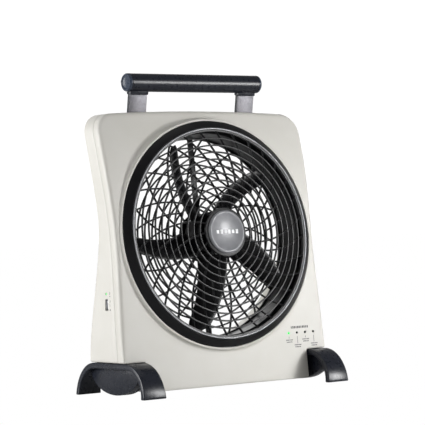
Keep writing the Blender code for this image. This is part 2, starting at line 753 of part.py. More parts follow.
# ================================================================= motor
def make_motor():
    """Can, end cap, two bushes, shaft, armature, two magnets and the mount behind them."""
    can = [(BUSH_R + GAP, MOTOR_FRONT), (MOTOR_R, MOTOR_FRONT), (MOTOR_R, MOTOR_BACK),
           (MOTOR_R - MOTOR_WALL, MOTOR_BACK), (MOTOR_R - MOTOR_WALL, MOTOR_FRONT - MOTOR_WALL),
           (BUSH_R + GAP, MOTOR_FRONT - MOTOR_WALL)]
    as_part(turned("motor_can", can, 32, parent=FAN), "motor_can", "steel")
    cap_r = MOTOR_R - MOTOR_WALL - GAP
    cap_front, cap_back = MOTOR_BACK + GAP + END_CAP_T, MOTOR_BACK + GAP
    cap = [(BUSH_R + GAP, cap_front), (cap_r, cap_front), (cap_r, cap_back),
           (BUSH_R + GAP, cap_back)]
    as_part(turned("motor_end_cap", cap, 24, parent=FAN), "motor_end_cap", "black")
    for name, front in (("motor_bush_front", MOTOR_FRONT + BUSH_PROUD),
                        ("motor_bush_rear", cap_front + BUSH_PROUD)):
        bush = [(SHAFT_R + GAP, front), (BUSH_R, front), (BUSH_R, front - BUSH_L),
                (SHAFT_R + GAP, front - BUSH_L)]
        as_part(turned(name, bush, 16, parent=FAN), name, "brass")
    middle = (MOTOR_FRONT + MOTOR_BACK) / 2
    shaft = rod("motor_shaft", (0, 0, MOTOR_BACK + 2 * GAP), (0, 0, HUB_FRONT), SHAFT_R, 14,
                parent=FAN)
    as_part(shaft, "motor_shaft", "steel", smooth=True)
    core = [(SHAFT_R + GAP, middle + ARMATURE_L / 2), (ARMATURE_R, middle + ARMATURE_L / 2),
            (ARMATURE_R, middle - ARMATURE_L / 2), (SHAFT_R + GAP, middle - ARMATURE_L / 2)]
    as_part(turned("motor_armature", core, 24, parent=FAN), "motor_armature", "brass")
    outer = MOTOR_R - MOTOR_WALL - GAP
    for name, side in (("motor_magnet_left", -1), ("motor_magnet_right", 1)):
        front, back = middle + MAGNET_HALF_L, middle - MAGNET_HALF_L
        ring = [(outer, front), (outer, back),
                (outer - MAGNET_T, back), (outer - MAGNET_T, front)]
        magnet = turned(name, ring, 24, parent=FAN)
        ends = (-side * 2 * MOTOR_R, side * MAGNET_EDGE)
        cut(magnet, box("magnet_trim", (min(ends), -2 * MOTOR_R, -FAR),
                        (max(ends), 2 * MOTOR_R, FAR), parent=FAN))
        as_part(magnet, name, "magnet")
    seat = REAR_GRILLE_BACK + GRILLE_T + GAP
    bore_r = MOTOR_R + GAP
    top, step = MOTOR_BACK + MOUNT_GRIP, seat + MOUNT_FLANGE
    mount = [(bore_r + MOUNT_WALL, top), (bore_r + MOUNT_WALL, step), (MOUNT_R, step),
             (MOUNT_R, seat), (BUSH_R + SINK, seat), (BUSH_R + SINK, MOTOR_BACK - GAP),
             (bore_r, MOTOR_BACK - GAP), (bore_r, top)]
    holder = turned("motor_mount", mount, 32, parent=FAN)
    for sign in (-1, 1):
        x = sign * MOTOR_SCREW_R
        cut(holder, rod("mount_hole", (x, 0, -FAR), (x, 0, FAR), SCREW_R + GAP, BOLT_SIDES,
                        parent=FAN))
    as_part(holder, "motor_mount", "black")


def make_motor_screws():
    """Screws from the mount's front, through the rear grille's hub disc."""
    seat = REAR_GRILLE_BACK + GRILLE_T + 2 * GAP + MOUNT_FLANGE
    for name, sign in (("motor_screw_left", -1), ("motor_screw_right", 1)):
        x = sign * MOTOR_SCREW_R
        make_screw(name, fan_point(x, 0, seat), fan_point(x, 0, REAR_GRILLE_BACK - SINK))


def make_rear_grille():
    grille = make_grille("rear_grille", REAR_RINGS, REAR_RIBS, REAR_SWEEP,
                         TUNNEL_R - 2 * GAP, REAR_GRILLE_BACK + GRILLE_T, 0.0)
    for sign in (-1, 1):
        ends = sorted((sign * (GRILLE_HUB_R - SINK), sign * (TUNNEL_R - 2 * GAP - RIM_W / 2)))
        join(grille, box("grille_strut", (-STRUT_W / 2, ends[0], REAR_GRILLE_BACK + STRUT_SUNK),
                         (STRUT_W / 2, ends[1], REAR_GRILLE_BACK + GRILLE_T - STRUT_SUNK),
                         parent=FAN))
        x = sign * MOTOR_SCREW_R
        cut(grille, rod("grille_screw_hole", (x, 0, -FAR), (x, 0, FAR), SCREW_R + GAP, BOLT_SIDES,
                        parent=FAN))
    return grille


# ================================================================= feet
def foot_middle():
    return BODY_HALF_W - FOOT_OUT - FOOT_W / 2


def make_foot(name, sign):
    """An arch that straddles a corner of the housing, with a lens-shaped web."""
    half = FOOT_W / 2
    reach = FOOT_HALF_L - FOOT_CROWN_HALF
    outer = arc((FOOT_CROWN_HALF, 0), (reach, FOOT_H), 0, 90, ARCH_STEPS)
    inner = arc((FOOT_CROWN_HALF, 0), (reach - FOOT_WALL, FOOT_H - FOOT_WALL), 90, 0, ARCH_STEPS)
    outline = outer + [(-y, z) for y, z in reversed(outer)]
    outline += [(-y, z) for y, z in reversed(inner)] + inner
    arch = prism(name, outline, "X", -half, half)
    for vert in arch.data.vertices:
        vert.co.x *= 1 + 2 * FOOT_FLARE * (1 - vert.co.z / FOOT_H) ** 2
    web_top = FOOT_H - FOOT_WALL / 2
    web = arc((0, FOOT_H - FOOT_WALL), (WEB_HALF_L, WEB_DEPTH), 180, 360, 12)
    web += [(WEB_HALF_L * WEB_SPREAD, web_top), (-WEB_HALF_L * WEB_SPREAD, web_top)]
    join(arch, prism("web", web, "X", -WEB_T / 2, WEB_T / 2))
    for y in FOOT_SCREW_Y:
        cut(arch, rod("foot_hole", (0, y, -FAR), (0, y, FAR), SCREW_R + GAP, BOLT_SIDES))
        cut(arch, rod("foot_head_hole", (0, y, -FAR), (0, y, foot_seat()),
                      SCREW_HEAD_R + GAP, 14))
    tools = [modifier.object for modifier in arch.modifiers]
    for obj in [arch] + tools:
        obj.location.x = sign * foot_middle()
    return as_part(arch, name, "slate")


def foot_seat():
    """Height of the screw seats inside a foot."""
    return FOOT_H - FOOT_SEAT_T


def make_foot_screws():
    index = 1
    for sign in (-1, 1):
        for y in FOOT_SCREW_Y:
            x = sign * foot_middle()
            make_screw(f"foot_screw_{index}", (x, y, foot_seat() - GAP),
                       (x, y, FOOT_H + FOOT_SCREW_BITE))
            index += 1


# ================================================================= handle
def make_handle():
    """Grip, end caps and straps, built upright on a pivot that leans them forward."""
    pivot = bpy.data.objects.new("handle_pivot", None)
    PARTS.objects.link(pivot)
    pivot.location = pivot_point()
    pivot.rotation_euler = (HANDLE_LEAN, 0, 0)
    middle = GRIP_REACH
    grip = rod("handle_grip", (-GRIP_HALF_L, 0, middle), (GRIP_HALF_L, 0, middle), GRIP_R, 32,
               parent=pivot)
    pocket_half = STRAP_W / 2 + GAP
    strap_end = middle + STRAP_HOOK
    neck_half = STRAP_W / 2 + NECK_MARGIN
    for sign in (-1, 1):
        x = sign * STRAP_X
        join(grip, box("neck", (x - neck_half, -NECK_T / 2, middle - NECK_DROP),
                       (x + neck_half, NECK_T / 2, middle), parent=pivot))
    bore = rod("grip_bore", (-FAR, 0, middle), (FAR, 0, middle), GRIP_R - GRIP_WALL, 24,
               parent=pivot)
    cut(grip, bore)
    for name, sign in (("handle_strap_left", -1), ("handle_strap_right", 1)):
        x = sign * STRAP_X
        cut(grip, box("pocket", (x - pocket_half, -STRAP_T / 2 - GAP, 0),
                      (x + pocket_half, STRAP_T / 2 + GAP, middle), parent=pivot))
        strap = box(name, (x - STRAP_W / 2, -STRAP_T / 2, 0),
                    (x + STRAP_W / 2, STRAP_T / 2, strap_end), parent=pivot)
        ends = (x - STRAP_W / 2, x + STRAP_W / 2)
        join(strap, rod("knuckle", (ends[0], 0, 0), (ends[1], 0, 0), KNUCKLE_R, 16,
                        parent=pivot))
        cut(strap, rod("strap_hole", (ends[0] - NEAR, 0, 0), (ends[1] + NEAR, 0, 0),
                       PIVOT_PIN_R + GAP, 14, parent=pivot))
        as_part(strap, name, "strap")
    as_part(grip, "handle_grip", "slate")
    for name, sign in (("grip_cap_left", -1), ("grip_cap_right", 1)):
        start = sign * (GRIP_HALF_L + GAP)
        cap = rod(name, (start, 0, middle), (start + sign * GRIP_CAP, 0, middle), GRIP_R, 32,
                  end_radius=GRIP_R - GRIP_CAP_TAPER, parent=pivot)
        join(cap, rod("cap_plug", (start - sign * CAP_PLUG, 0, middle),
                      (start + sign * SINK, 0, middle), GRIP_R - GRIP_WALL - GAP, 20,
                      parent=pivot))
        as_part(cap, name, "slate", smooth=True)
    half = STRAP_W / 2 + RUN + LUG_W - SINK - GAP
    for name, sign in (("handle_pin_left", -1), ("handle_pin_right", 1)):
        x = sign * STRAP_X
        pin = rod(name, (x - half, 0, 0), (x + half, 0, 0), PIVOT_PIN_R, 14)
        pin.location = pivot_point()
        as_part(pin, name, "steel", smooth=True)


# ================================================================= battery bay
def tray_floor():
    return BODY_BOTTOM + WALL + GAP


def cell_height():
    return tray_floor() + TRAY_WALL + GAP + CELL_R


def row_half_depth():
    return 2 * CELL_R + CELL_GAP


def row_half_length():
    return CELLS_PER_ROW / 2 * (CELL_L + CELL_NUB + GAP)


def tray_half_length():
    return row_half_length() + CONTACT_ROOM


def make_battery_tray():
    """An open trough for the cells: floor, front wall and two end walls."""
    half_y = row_half_depth() + GAP
    half_x = tray_half_length()
    low = Vector((-half_x, TRAY_MID_Y - half_y - TRAY_WALL, tray_floor()))
    high = Vector((half_x, TRAY_MID_Y + half_y, tray_floor() + TRAY_RISE))
    tray = box("battery_tray", low, high)
    inner_low = (low.x + TRAY_WALL, low.y + TRAY_WALL, low.z + TRAY_WALL)
    cut(tray, box("tray_hollow", inner_low, (high.x - TRAY_WALL, FAR, FAR)))
    return as_part(tray, "battery_tray", "black")


def make_cells():
    """Two rows of cells end to end; the rows point opposite ways."""
    z = cell_height()
    pitch = CELL_L + CELL_NUB + GAP
    for row, side in (("front", -1), ("rear", 1)):
        y = TRAY_MID_Y + side * (CELL_R + CELL_GAP / 2)
        for place in range(CELLS_PER_ROW):
            start = (place - CELLS_PER_ROW / 2) * pitch + side * ROW_SHIFT
            base = start if side > 0 else start + pitch - GAP
            can_end = base + side * CELL_L
            cell = rod(f"cell_{row}_{place + 1}", (base, y, z), (can_end, y, z), CELL_R, 24)
            join(cell, rod("nub", (can_end - side * SINK, y, z),
                           (can_end + side * CELL_NUB, y, z), CELL_NUB_R, 12))
            as_part(cell, f"cell_{row}_{place + 1}", "cell", smooth=True)


def make_contacts():
    """A contact plate on each end wall, and a spring under each row's flat end."""
    z = cell_height()
    wall = tray_half_length() - TRAY_WALL - GAP
    half_y = row_half_depth() - WALL
    for name, sign in (("contact_plate_left", -1), ("contact_plate_right", 1)):
        inner, outer = sign * (wall - PLATE_T), sign * wall
        plate = box(name, (min(inner, outer), TRAY_MID_Y - half_y, z - PLATE_LOW),
                    (max(inner, outer), TRAY_MID_Y + half_y, z + PLATE_HIGH))
        as_part(plate, name, "steel")
    flat_end = row_half_length() - ROW_SHIFT
    for name, side in (("contact_spring_front", -1), ("contact_spring_rear", 1)):
        y = TRAY_MID_Y + side * (CELL_R + CELL_GAP / 2)
        margin = GAP + 1.3 * SPRING_WIRE
        start, end = -side * (wall - PLATE_T - margin), -side * (flat_end + margin)
        curve = bpy.data.curves.new(name, "CURVE")
        curve.dimensions = "3D"
        curve.bevel_depth = SPRING_WIRE
        curve.bevel_resolution = 1
        curve.use_fill_caps = True
        spline = curve.splines.new("POLY")
        count = SPRING_TURNS * SPRING_POINTS + 1
        spline.points.add(count - 1)
        for step in range(count):
            share = step / (count - 1)
            angle = 2 * math.pi * SPRING_TURNS * share
            radius = SPRING_R * (1 - SPRING_TAPER * share)
            x = start + (end - start) * share
            spline.points[step].co = (x, y + radius * math.cos(angle),
                                      z + radius * math.sin(angle), 1)
        spring = bpy.data.objects.new(name, curve)
        TOOLS.objects.link(spring)
        as_part(spring, name, "steel")


def make_door():
    """The battery door is the piece of rear wall that its opening takes out."""
    door = body_solid("battery_door", 0.0)
    cut(door, body_solid("door_hollow", WALL))
    half = DOOR_HALF_W - DOOR_GAP
    boolean(door, box("door_area", (-half, DOOR_FRONT, DOOR_BOTTOM + DOOR_GAP),
                      (half, FAR, DOOR_TOP - DOOR_GAP)), "INTERSECT")
    axis = door_axis()
    along = Vector((DOOR_HALF_W + NEAR, 0, 0))
    cut(door, rod("door_hole", axis - along, axis + along, DOOR_PIN_R + GAP, 10))
    as_part(door, "battery_door", "housing")
    half = Vector((DOOR_HALF_W + DOOR_PIN_L / 2, 0, 0))
    pin = rod("door_pin", axis - half, axis + half, DOOR_PIN_R, 10)
    as_part(pin, "door_pin", "steel", smooth=True)


# ================================================================= electrics
def make_indicators():
    """Four lights behind the front face, and the board that carries them."""
    depth = led_face_depth()
    for index, (x, y) in enumerate(led_places(), start=1):
        profile = [(0, depth + 0.0010), (LED_R * 0.75, depth + 0.0005),
                   (LED_R, depth - 0.0005), (LED_R, depth - LED_LEN), (0, depth - LED_LEN)]
        led = turned(f"indicator_led_{index}", profile, 12, closed=False, parent=FAN)
        led.location = (x, y, 0)
        as_part(led, f"indicator_led_{index}", "lens_lit" if index == 1 else "lens")
    back = depth - LED_LEN - GAP
    (first_x, y), (last_x, _) = led_places()[0], led_places()[-1]
    board = box("control_board", (first_x - BOARD_MARGIN, y - BOARD_HALF_H, back - BOARD_T),
                (last_x + BOARD_MARGIN, y + BOARD_HALF_H, back), parent=FAN)
    as_part(board, "control_board", "board")


def make_usb():
    """A power-out socket on its own small board, and the light above it."""
    mouth = -half_width(USB_Z) + USB_PROUD
    back = mouth + USB_DEPTH
    half_z, half_y = USB_H / 2, USB_T / 2
    shell = box("usb_socket", (mouth, PORT_Y - half_y, USB_Z - half_z),
                (back, PORT_Y + half_y, USB_Z + half_z))
    inner_z, inner_y = half_z - USB_SHEET, half_y - USB_SHEET
    cut(shell, box("usb_hollow", (mouth - NEAR, PORT_Y - inner_y, USB_Z - inner_z),
                   (back - SINK, PORT_Y + inner_y, USB_Z + inner_z)))
    tongue_y, tongue_z = USB_TONGUE_T / 2, half_z - 2 * RUN
    join(shell, box("usb_tongue", (mouth + SINK, PORT_Y - tongue_y, USB_Z - tongue_z),
                    (back - SINK / 2, PORT_Y + tongue_y, USB_Z + tongue_z)))
    as_part(shell, "usb_socket", "steel")
    rear = PORT_Y + half_y + GAP
    board = box("usb_board", (mouth + WALL + GAP, rear, USB_Z - USB_BOARD_HALF_H),
                (back + USB_BOARD_END, rear + BOARD_T, USB_Z + USB_BOARD_HALF_H))
    as_part(board, "usb_board", "board")
    face = -half_width(SIDE_LED_Z)
    led = rod("side_led", (face + GAP, SIDE_LED_Y, SIDE_LED_Z),
              (face + LED_LEN, SIDE_LED_Y, SIDE_LED_Z), LED_R * 0.9, 12)
    as_part(led, "side_led", "lens_lit", smooth=True)


def rocker_axis():
    return Vector((half_width(SWITCH_Z) - ROCKER_AXIS_IN, PORT_Y, SWITCH_Z))


def make_switch():
    """A rocker in a box-shaped switch body, clamped behind the right side wall."""
    inner = half_width(SWITCH_Z) - WALL - SIDE_SEAT
    half_z, half_y = SWITCH_H / 2, SWITCH_T / 2
    body = box("switch_body", (inner - SWITCH_DEPTH, PORT_Y - half_y, SWITCH_Z - half_z),
               (inner, PORT_Y + half_y, SWITCH_Z + half_z))
    well_z, well_y = ROCKER_H / 2 + RUN, ROCKER_T / 2 + RUN
    cut(body, box("switch_well", (inner - ROCKER_WELL, PORT_Y - well_y, SWITCH_Z - well_z),
                  (inner + NEAR, PORT_Y + well_y, SWITCH_Z + well_z)))
    as_part(body, "switch_body", "black")
    axis = rocker_axis()
    half, high = ROCKER_H / 2, ROCKER_TOP + ROCKER_RAISE
    outline = [(-ROCKER_UNDER, -half + SINK), (high, -half), (ROCKER_TOP, 0), (high, half),
               (-ROCKER_UNDER, half - SINK), (-2 * ROCKER_UNDER, 0)]
    rocker = prism("switch_rocker", outline, "Y", -ROCKER_T / 2, ROCKER_T / 2)
    rocker.location = axis
    as_part(rocker, "switch_rocker", "black")


def make_jack():
    """Barrel socket for a mains adapter."""
    outer = half_width(JACK_Z) - WALL - SIDE_SEAT
    half = JACK_SIZE / 2
    body = box("dc_jack", (outer - JACK_DEPTH, PORT_Y - half, JACK_Z - half),
               (outer, PORT_Y + half, JACK_Z + half))
    floor = outer - JACK_DEPTH + 2 * SINK
    cut(body, rod("jack_bore", (floor, PORT_Y, JACK_Z), (outer + NEAR, PORT_Y, JACK_Z),
                  JACK_BORE_R, 18))
    join(body, rod("jack_pin", (floor - SINK, PORT_Y, JACK_Z), (outer - SINK, PORT_Y, JACK_Z),
                   JACK_PIN_R, 12))
    as_part(body, "dc_jack", "black")


# ================================================================= assembly
make_front_housing()
make_rear_housing()
make_housing_screws()
make_front_bezel()
make_grille("front_grille", FRONT_RINGS, FRONT_RIBS, FRONT_SWEEP, RIM_R, BEZEL_FRONT,
            FRONT_DOME)
make_badge()
make_duct()
make_rotor()
make_motor()
make_motor_screws()
make_rear_grille()
make_foot("left_foot", -1)
make_foot("right_foot", 1)
make_foot_screws()
make_handle()
make_battery_tray()
make_cells()
make_contacts()
make_door()
make_indicators()
make_usb()
make_switch()
make_jack()
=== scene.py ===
"""Looks of the portable battery box fan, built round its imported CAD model.

Lengths are in metres, +Z is up and the air leaves towards -Y. The fan head has its own frame: its
local Z is the rotor's axis and points out of the front grille, its local Y runs up the face.
"""

import json
import logging
import math
from dataclasses import dataclass, field
from enum import Enum
from typing import Callable, Iterable, Sequence

import bmesh
import bpy
from mathutils import Matrix, Vector


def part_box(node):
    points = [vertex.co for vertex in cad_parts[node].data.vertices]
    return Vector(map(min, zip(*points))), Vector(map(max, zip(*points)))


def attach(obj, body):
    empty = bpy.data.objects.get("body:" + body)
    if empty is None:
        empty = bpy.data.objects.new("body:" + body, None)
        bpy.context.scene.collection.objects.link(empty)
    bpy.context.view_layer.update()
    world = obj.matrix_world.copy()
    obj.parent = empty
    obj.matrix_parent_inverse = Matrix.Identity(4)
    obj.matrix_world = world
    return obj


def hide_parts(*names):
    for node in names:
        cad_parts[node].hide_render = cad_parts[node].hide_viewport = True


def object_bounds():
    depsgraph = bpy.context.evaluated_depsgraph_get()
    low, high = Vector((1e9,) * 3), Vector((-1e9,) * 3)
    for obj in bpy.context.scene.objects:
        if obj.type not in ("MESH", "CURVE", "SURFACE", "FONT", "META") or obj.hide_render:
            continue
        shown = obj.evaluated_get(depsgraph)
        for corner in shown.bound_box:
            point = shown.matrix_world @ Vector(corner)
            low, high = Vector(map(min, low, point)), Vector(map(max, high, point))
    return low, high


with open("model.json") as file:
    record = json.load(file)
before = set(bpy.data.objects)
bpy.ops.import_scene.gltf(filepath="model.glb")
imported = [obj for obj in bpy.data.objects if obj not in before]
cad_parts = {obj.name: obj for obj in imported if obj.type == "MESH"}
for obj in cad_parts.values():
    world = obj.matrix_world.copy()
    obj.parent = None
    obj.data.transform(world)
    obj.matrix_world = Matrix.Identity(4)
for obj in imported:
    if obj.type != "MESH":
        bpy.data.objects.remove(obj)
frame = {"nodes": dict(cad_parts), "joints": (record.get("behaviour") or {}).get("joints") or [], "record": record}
CAD_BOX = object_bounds()
LOG = logging.getLogger("box_fan")

MERGE = 1e-6             # points closer than this are one point
GAP = 0.0003             # between pieces that touch
WALL = 0.0025            # moulded walls
DUCT_STEP = 0.0150       # from the bezel's outside to the duct's inside
BLADE_CLEARANCE = 0.0055  # from the duct to the blade tips
FOOT_FLARE = 0.070       # a foot widens by this share on each side at the ground
SHARP = math.radians(38)
FINE_TURN = 168          # sides of the large rings
SMALL_TURN = 40          # sides of the small round pieces

Profile = Sequence[tuple[float, float]]
Place = Callable[[int, int], Vector]


class Body(Enum):
    """The bodies that move on their own."""

    ROOT = "root"
    ROTOR = "rotor"
    HANDLE = "handle"
    DOOR = "door"
    ROCKER = "rocker"


class Slot(Enum):
    """The record's material slots."""

    HOUSING = "housing"
    BLACK = "black"
    SLATE = "slate"
    BADGE = "badge"
    STRAP = "strap"
    STEEL = "steel"
    COPPER = "copper_brass"
    ZINC = "zinc"
    BOARD = "board"
    LIT = "lens_lit"
    LENS = "lens"
    CELL = "cell"
    MAGNET = "magnet"


class Side(Enum):
    """Left and right as seen from the front, as the sign of X."""

    LEFT = -1
    RIGHT = 1


# ================================================================= places taken from the frame
def joint(name: str) -> dict:
    """Find a joint of the record.

    Args:
        name: the joint's name.

    Returns:
        The joint's entry, with its pos_m and axis.
    """
    return next(entry for entry in frame["joints"] if entry["name"] == name)


def head_frame() -> Matrix:
    """The fan head's frame, from the rotor's joint.

    Returns:
        The frame, with its origin at the joint and its Z out of the front.
    """
    spin = joint("blade_spin")
    out = Vector(spin["axis"]).normalized()
    across = Vector((1, 0, 0))
    up = out.cross(across)
    turn = Matrix((across, up, out)).transposed().to_4x4()
    return Matrix.Translation(Vector(spin["pos_m"])) @ turn


HEAD = head_frame()
HEAD_INVERSE = HEAD.inverted()


def radius_of(node: str) -> float:
    """Outer radius of a CAD node that is turned round the rotor's axis."""
    low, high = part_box(node)
    return (high.x - low.x) / 2


# ================================================================= mesh tools
def new_mesh() -> bmesh.types.BMesh:
    """An empty mesh to work on."""
    return bmesh.new()


def patch(bm: bmesh.types.BMesh, columns: int, rows: int, place: Place,
          wrap: tuple[bool, bool] = (False, False)) -> None:
    """Lay a grid over a surface.

    Args:
        bm: the mesh to add to.
        columns: faces across.
        rows: faces along.
        place: gives the point of a column and a row.
        wrap: whether the last column and the last row meet the first.
    """
    verts = bmesh.ops.create_grid(bm, x_segments=columns, y_segments=rows, size=0.5)["verts"]
    for vert in verts:
        column = round((vert.co.x + 0.5) * columns)
        row = round((vert.co.y + 0.5) * rows)
        vert.co = place(column % columns if wrap[0] else column, row % rows if wrap[1] else row)
    bmesh.ops.remove_doubles(bm, verts=verts, dist=MERGE)


def turn(bm: bmesh.types.BMesh, profile: Profile, steps: int = FINE_TURN,
         closed: bool = True) -> None:
    """Turn a profile of (radius, height) points round the local Z axis.

    Args:
        bm: the mesh to add to.
        profile: the points, in order.
        steps: sides of the round shape.
        closed: whether the last point joins the first, as on a ring.
    """
    verts = [bm.verts.new((radius, 0, height)) for radius, height in profile]
    edges = [bm.edges.new(pair) for pair in zip(verts, verts[1:])]
    if closed:
        edges.append(bm.edges.new((verts[-1], verts[0])))
    bmesh.ops.spin(bm, geom=verts + edges, cent=(0, 0, 0), axis=(0, 0, 1),
                   angle=2 * math.pi, steps=steps, use_merge=True)
    bmesh.ops.remove_doubles(bm, verts=bm.verts, dist=MERGE)


def rounded(points: Profile, radius: float, steps: int = 4) -> list[tuple[float, float]]:
    """Round every corner of a closed outline.

    Args:
        points: the outline's corners.
        radius: of each corner, less where its sides are short.
        steps: stretches of each corner's curve.

    Returns:
        The outline with its corners as short curves.
    """
    soft = []
    for index, point in enumerate(points):
        corner = Vector(point)
        back = Vector(points[index - 1]) - corner
        ahead = Vector(points[(index + 1) % len(points)]) - corner
        half = max(back.angle(ahead) / 2, 0.05)
        reach = min(radius / math.tan(half), back.length * 0.45, ahead.length * 0.45)
        start, end = corner + back.normalized() * reach, corner + ahead.normalized() * reach
        for step in range(steps + 1):
            share = step / steps
            soft.append(tuple(start * (1 - share) ** 2 + corner * 2 * share * (1 - share)
                              + end * share ** 2))
    return soft


def arc(centre: tuple[float, float], radii: tuple[float, float], start: float, end: float,
        steps: int) -> list[tuple[float, float]]:
    """Points of an ellipse's arc between two angles in degrees.

    Args:
        centre: middle of the ellipse.
        radii: its two half widths.
        start: first angle.
        end: last angle.
        steps: number of steps between them.

    Returns:
        The points in order, both ends included.
    """
    angles = [math.radians(start + (end - start) * step / steps) for step in range(steps + 1)]
    return [(centre[0] + radii[0] * math.cos(angle), centre[1] + radii[1] * math.sin(angle))
            for angle in angles]


def soften(bm: bmesh.types.BMesh, width: float, segments: int = 2,
           angle: float = math.radians(30)) -> None:
    """Round the mesh's sharp edges.

    Args:
        bm: the mesh.
        width: of the rounding.
        segments: its steps.
        angle: edges that turn by more than this are rounded.
    """
    bmesh.ops.recalc_face_normals(bm, faces=bm.faces)
    edges = [edge for edge in bm.edges if edge.is_manifold and edge.calc_face_angle(0) > angle]
    bmesh.ops.bevel(bm, geom=edges, offset=width, offset_type="OFFSET", segments=segments,
                    profile=0.5, affect="EDGES", material=-1, clamp_overlap=True)


def block(low: Iterable[float], high: Iterable[float], edge: float = 0.0,
          segments: int = 2) -> bmesh.types.BMesh:
    """A block between two corners with rounded edges.

    Args:
        low: its lowest corner.
        high: its highest corner.
        edge: radius of its edges, or 0 for sharp ones.
        segments: steps of the rounding.

    Returns:
        The block.
    """
    low, high = Vector(low), Vector(high)
    bm = new_mesh()
    bmesh.ops.create_cube(bm, size=1.0)
    bmesh.ops.scale(bm, vec=high - low, verts=bm.verts)
    bmesh.ops.translate(bm, vec=(low + high) / 2, verts=bm.verts)
    if edge > 0:
        soften(bm, edge, segments)
    return bm


def rod(start: Iterable[float], end: Iterable[float], radius: float, steps: int = SMALL_TURN,
        edge: float = 0.0, end_radius: float | None = None) -> bmesh.types.BMesh:
    """A round bar between two points with rounded ends, or a cone.

    Args:
        start: middle of one end.
        end: middle of the other end.
        radius: of the bar, at its start if it is a cone.
        steps: sides round it.
        edge: radius of the ends' edges, or 0 for sharp ones.
        end_radius: radius at its end, where that is another.

    Returns:
        The bar.
    """
    start, end = Vector(start), Vector(end)
    along = end - start
    bm = new_mesh()
    bmesh.ops.create_cone(bm, cap_ends=True, segments=steps, radius1=radius,
                          radius2=radius if end_radius is None else end_radius,
                          depth=along.length)
    if edge > 0:
        soften(bm, edge, 2, math.radians(50))
    aim = Vector((0, 0, 1)).rotation_difference(along.normalized()).to_matrix().to_4x4()
    bm.transform(Matrix.Translation((start + end) / 2) @ aim)
    return bm


def slab(outline: Profile, axis: str, low: float, high: float, edge: float = 0.0,
         segments: int = 2) -> bmesh.types.BMesh:
    """A flat outline pushed along one axis.

    Args:
        outline: its points, in (Y, Z) for X, in (X, Z) for Y and in (X, Y) for Z.
        axis: the axis it is pushed along.
        low: where it starts.
        high: where it ends.
        edge: rounding of its edges.
        segments: steps of the rounding.

    Returns:
        The solid.
    """
    bm = new_mesh()
    lift = {"X": lambda a, b: (low, a, b), "Y": lambda a, b: (a, low, b),
            "Z": lambda a, b: (a, b, low)}[axis]
    push = {"X": (high - low, 0, 0), "Y": (0, high - low, 0), "Z": (0, 0, high - low)}[axis]
    base = bm.faces.new([bm.verts.new(lift(a, b)) for a, b in outline])
    grown = bmesh.ops.extrude_face_region(bm, geom=[base])["geom"]
    moved = [item for item in grown if isinstance(item, bmesh.types.BMVert)]
    bmesh.ops.translate(bm, vec=Vector(push), verts=moved)
    if edge > 0:
        soften(bm, edge, segments)
    bmesh.ops.recalc_face_normals(bm, faces=bm.faces)
    return bm


def sweep(bm: bmesh.types.BMesh, path: Sequence[Vector], section: Profile,
          up: Vector = Vector((0, 0, 1))) -> None:
    """Carry a closed section along a path and close its ends.

    Args:
        bm: the mesh to add to.
        path: the points it follows.
        section: the section's points, across and up.
        up: the direction that stays the section's own up.
    """
    frames = []
    for index, point in enumerate(path):
        ahead = path[min(index + 1, len(path) - 1)] - path[max(index - 1, 0)]
        across = ahead.cross(up).normalized()
        frames.append((point, across, across.cross(ahead).normalized()))

    def place(column: int, row: int) -> Vector:
        """Point of the section at a step of the path."""
        point, across, rise = frames[row]
        return point + across * section[column][0] + rise * section[column][1]

    patch(bm, len(section), len(path) - 1, place, wrap=(True, False))
    bmesh.ops.holes_fill(bm, edges=[edge for edge in bm.edges if edge.is_boundary], sides=0)


def merge(*meshes: bmesh.types.BMesh) -> bmesh.types.BMesh:
    """Put several meshes into the first one.

    Args:
        meshes: the meshes, of which all but the first are used up.

    Returns:
        The first mesh with the others in it.
    """
    first = meshes[0]
    for other in meshes[1:]:
        carrier = bpy.data.meshes.new("carrier")
        other.to_mesh(carrier)
        other.free()
        first.from_mesh(carrier)
        bpy.data.meshes.remove(carrier)
    return first


def carve(bm: bmesh.types.BMesh, *tools: bmesh.types.BMesh,
          operation: str = "DIFFERENCE") -> bmesh.types.BMesh:
    """Cut solids out of a mesh, or join or keep only what they share.

    Args:
        bm: the mesh, which is used up.
        tools: the cutting solids, which are used up.
        operation: DIFFERENCE, UNION or INTERSECT.

    Returns:
        The cut mesh.
    """
    def temporary(source: bmesh.types.BMesh) -> bpy.types.Object:
        """An object that lasts as long as the cut.

        Args:
            source: the mesh, which is used up.

        Returns:
            The object.
        """
        bmesh.ops.recalc_face_normals(source, faces=source.faces)
        if source.calc_volume(signed=True) < 0:
            bmesh.ops.reverse_faces(source, faces=source.faces)
        mesh = bpy.data.meshes.new("temporary")
        source.to_mesh(mesh)
        source.free()
        obj = bpy.data.objects.new("temporary", mesh)
        bpy.context.scene.collection.objects.link(obj)
        return obj

    made = [temporary(item) for item in (bm, *tools)]
    target = made[0]
    for tool in made[1:]:
        modifier = target.modifiers.new("cut", "BOOLEAN")
        modifier.operation = operation
        modifier.object = tool
    bpy.context.view_layer.update()
    graph = bpy.context.evaluated_depsgraph_get()
    result = new_mesh()
    result.from_mesh(target.evaluated_get(graph).to_mesh())
    for obj in made:
        mesh = obj.data
        bpy.data.objects.remove(obj)
        bpy.data.meshes.remove(mesh)
    return result


# ================================================================= finishes
def paint(red: int, green: int, blue: int) -> tuple[float, float, float, float]:
    """A colour on a 0 to 255 scale as linear light.

    Args:
        red: its red share.
        green: its green share.
        blue: its blue share.

    Returns:
        The colour, fully opaque.
    """
    linear = [((value / 255 + 0.055) / 1.055) ** 2.4 if value > 10 else value / 255 / 12.92
              for value in (red, green, blue)]
    return (*linear, 1.0)


Colour = tuple[float, float, float, float]


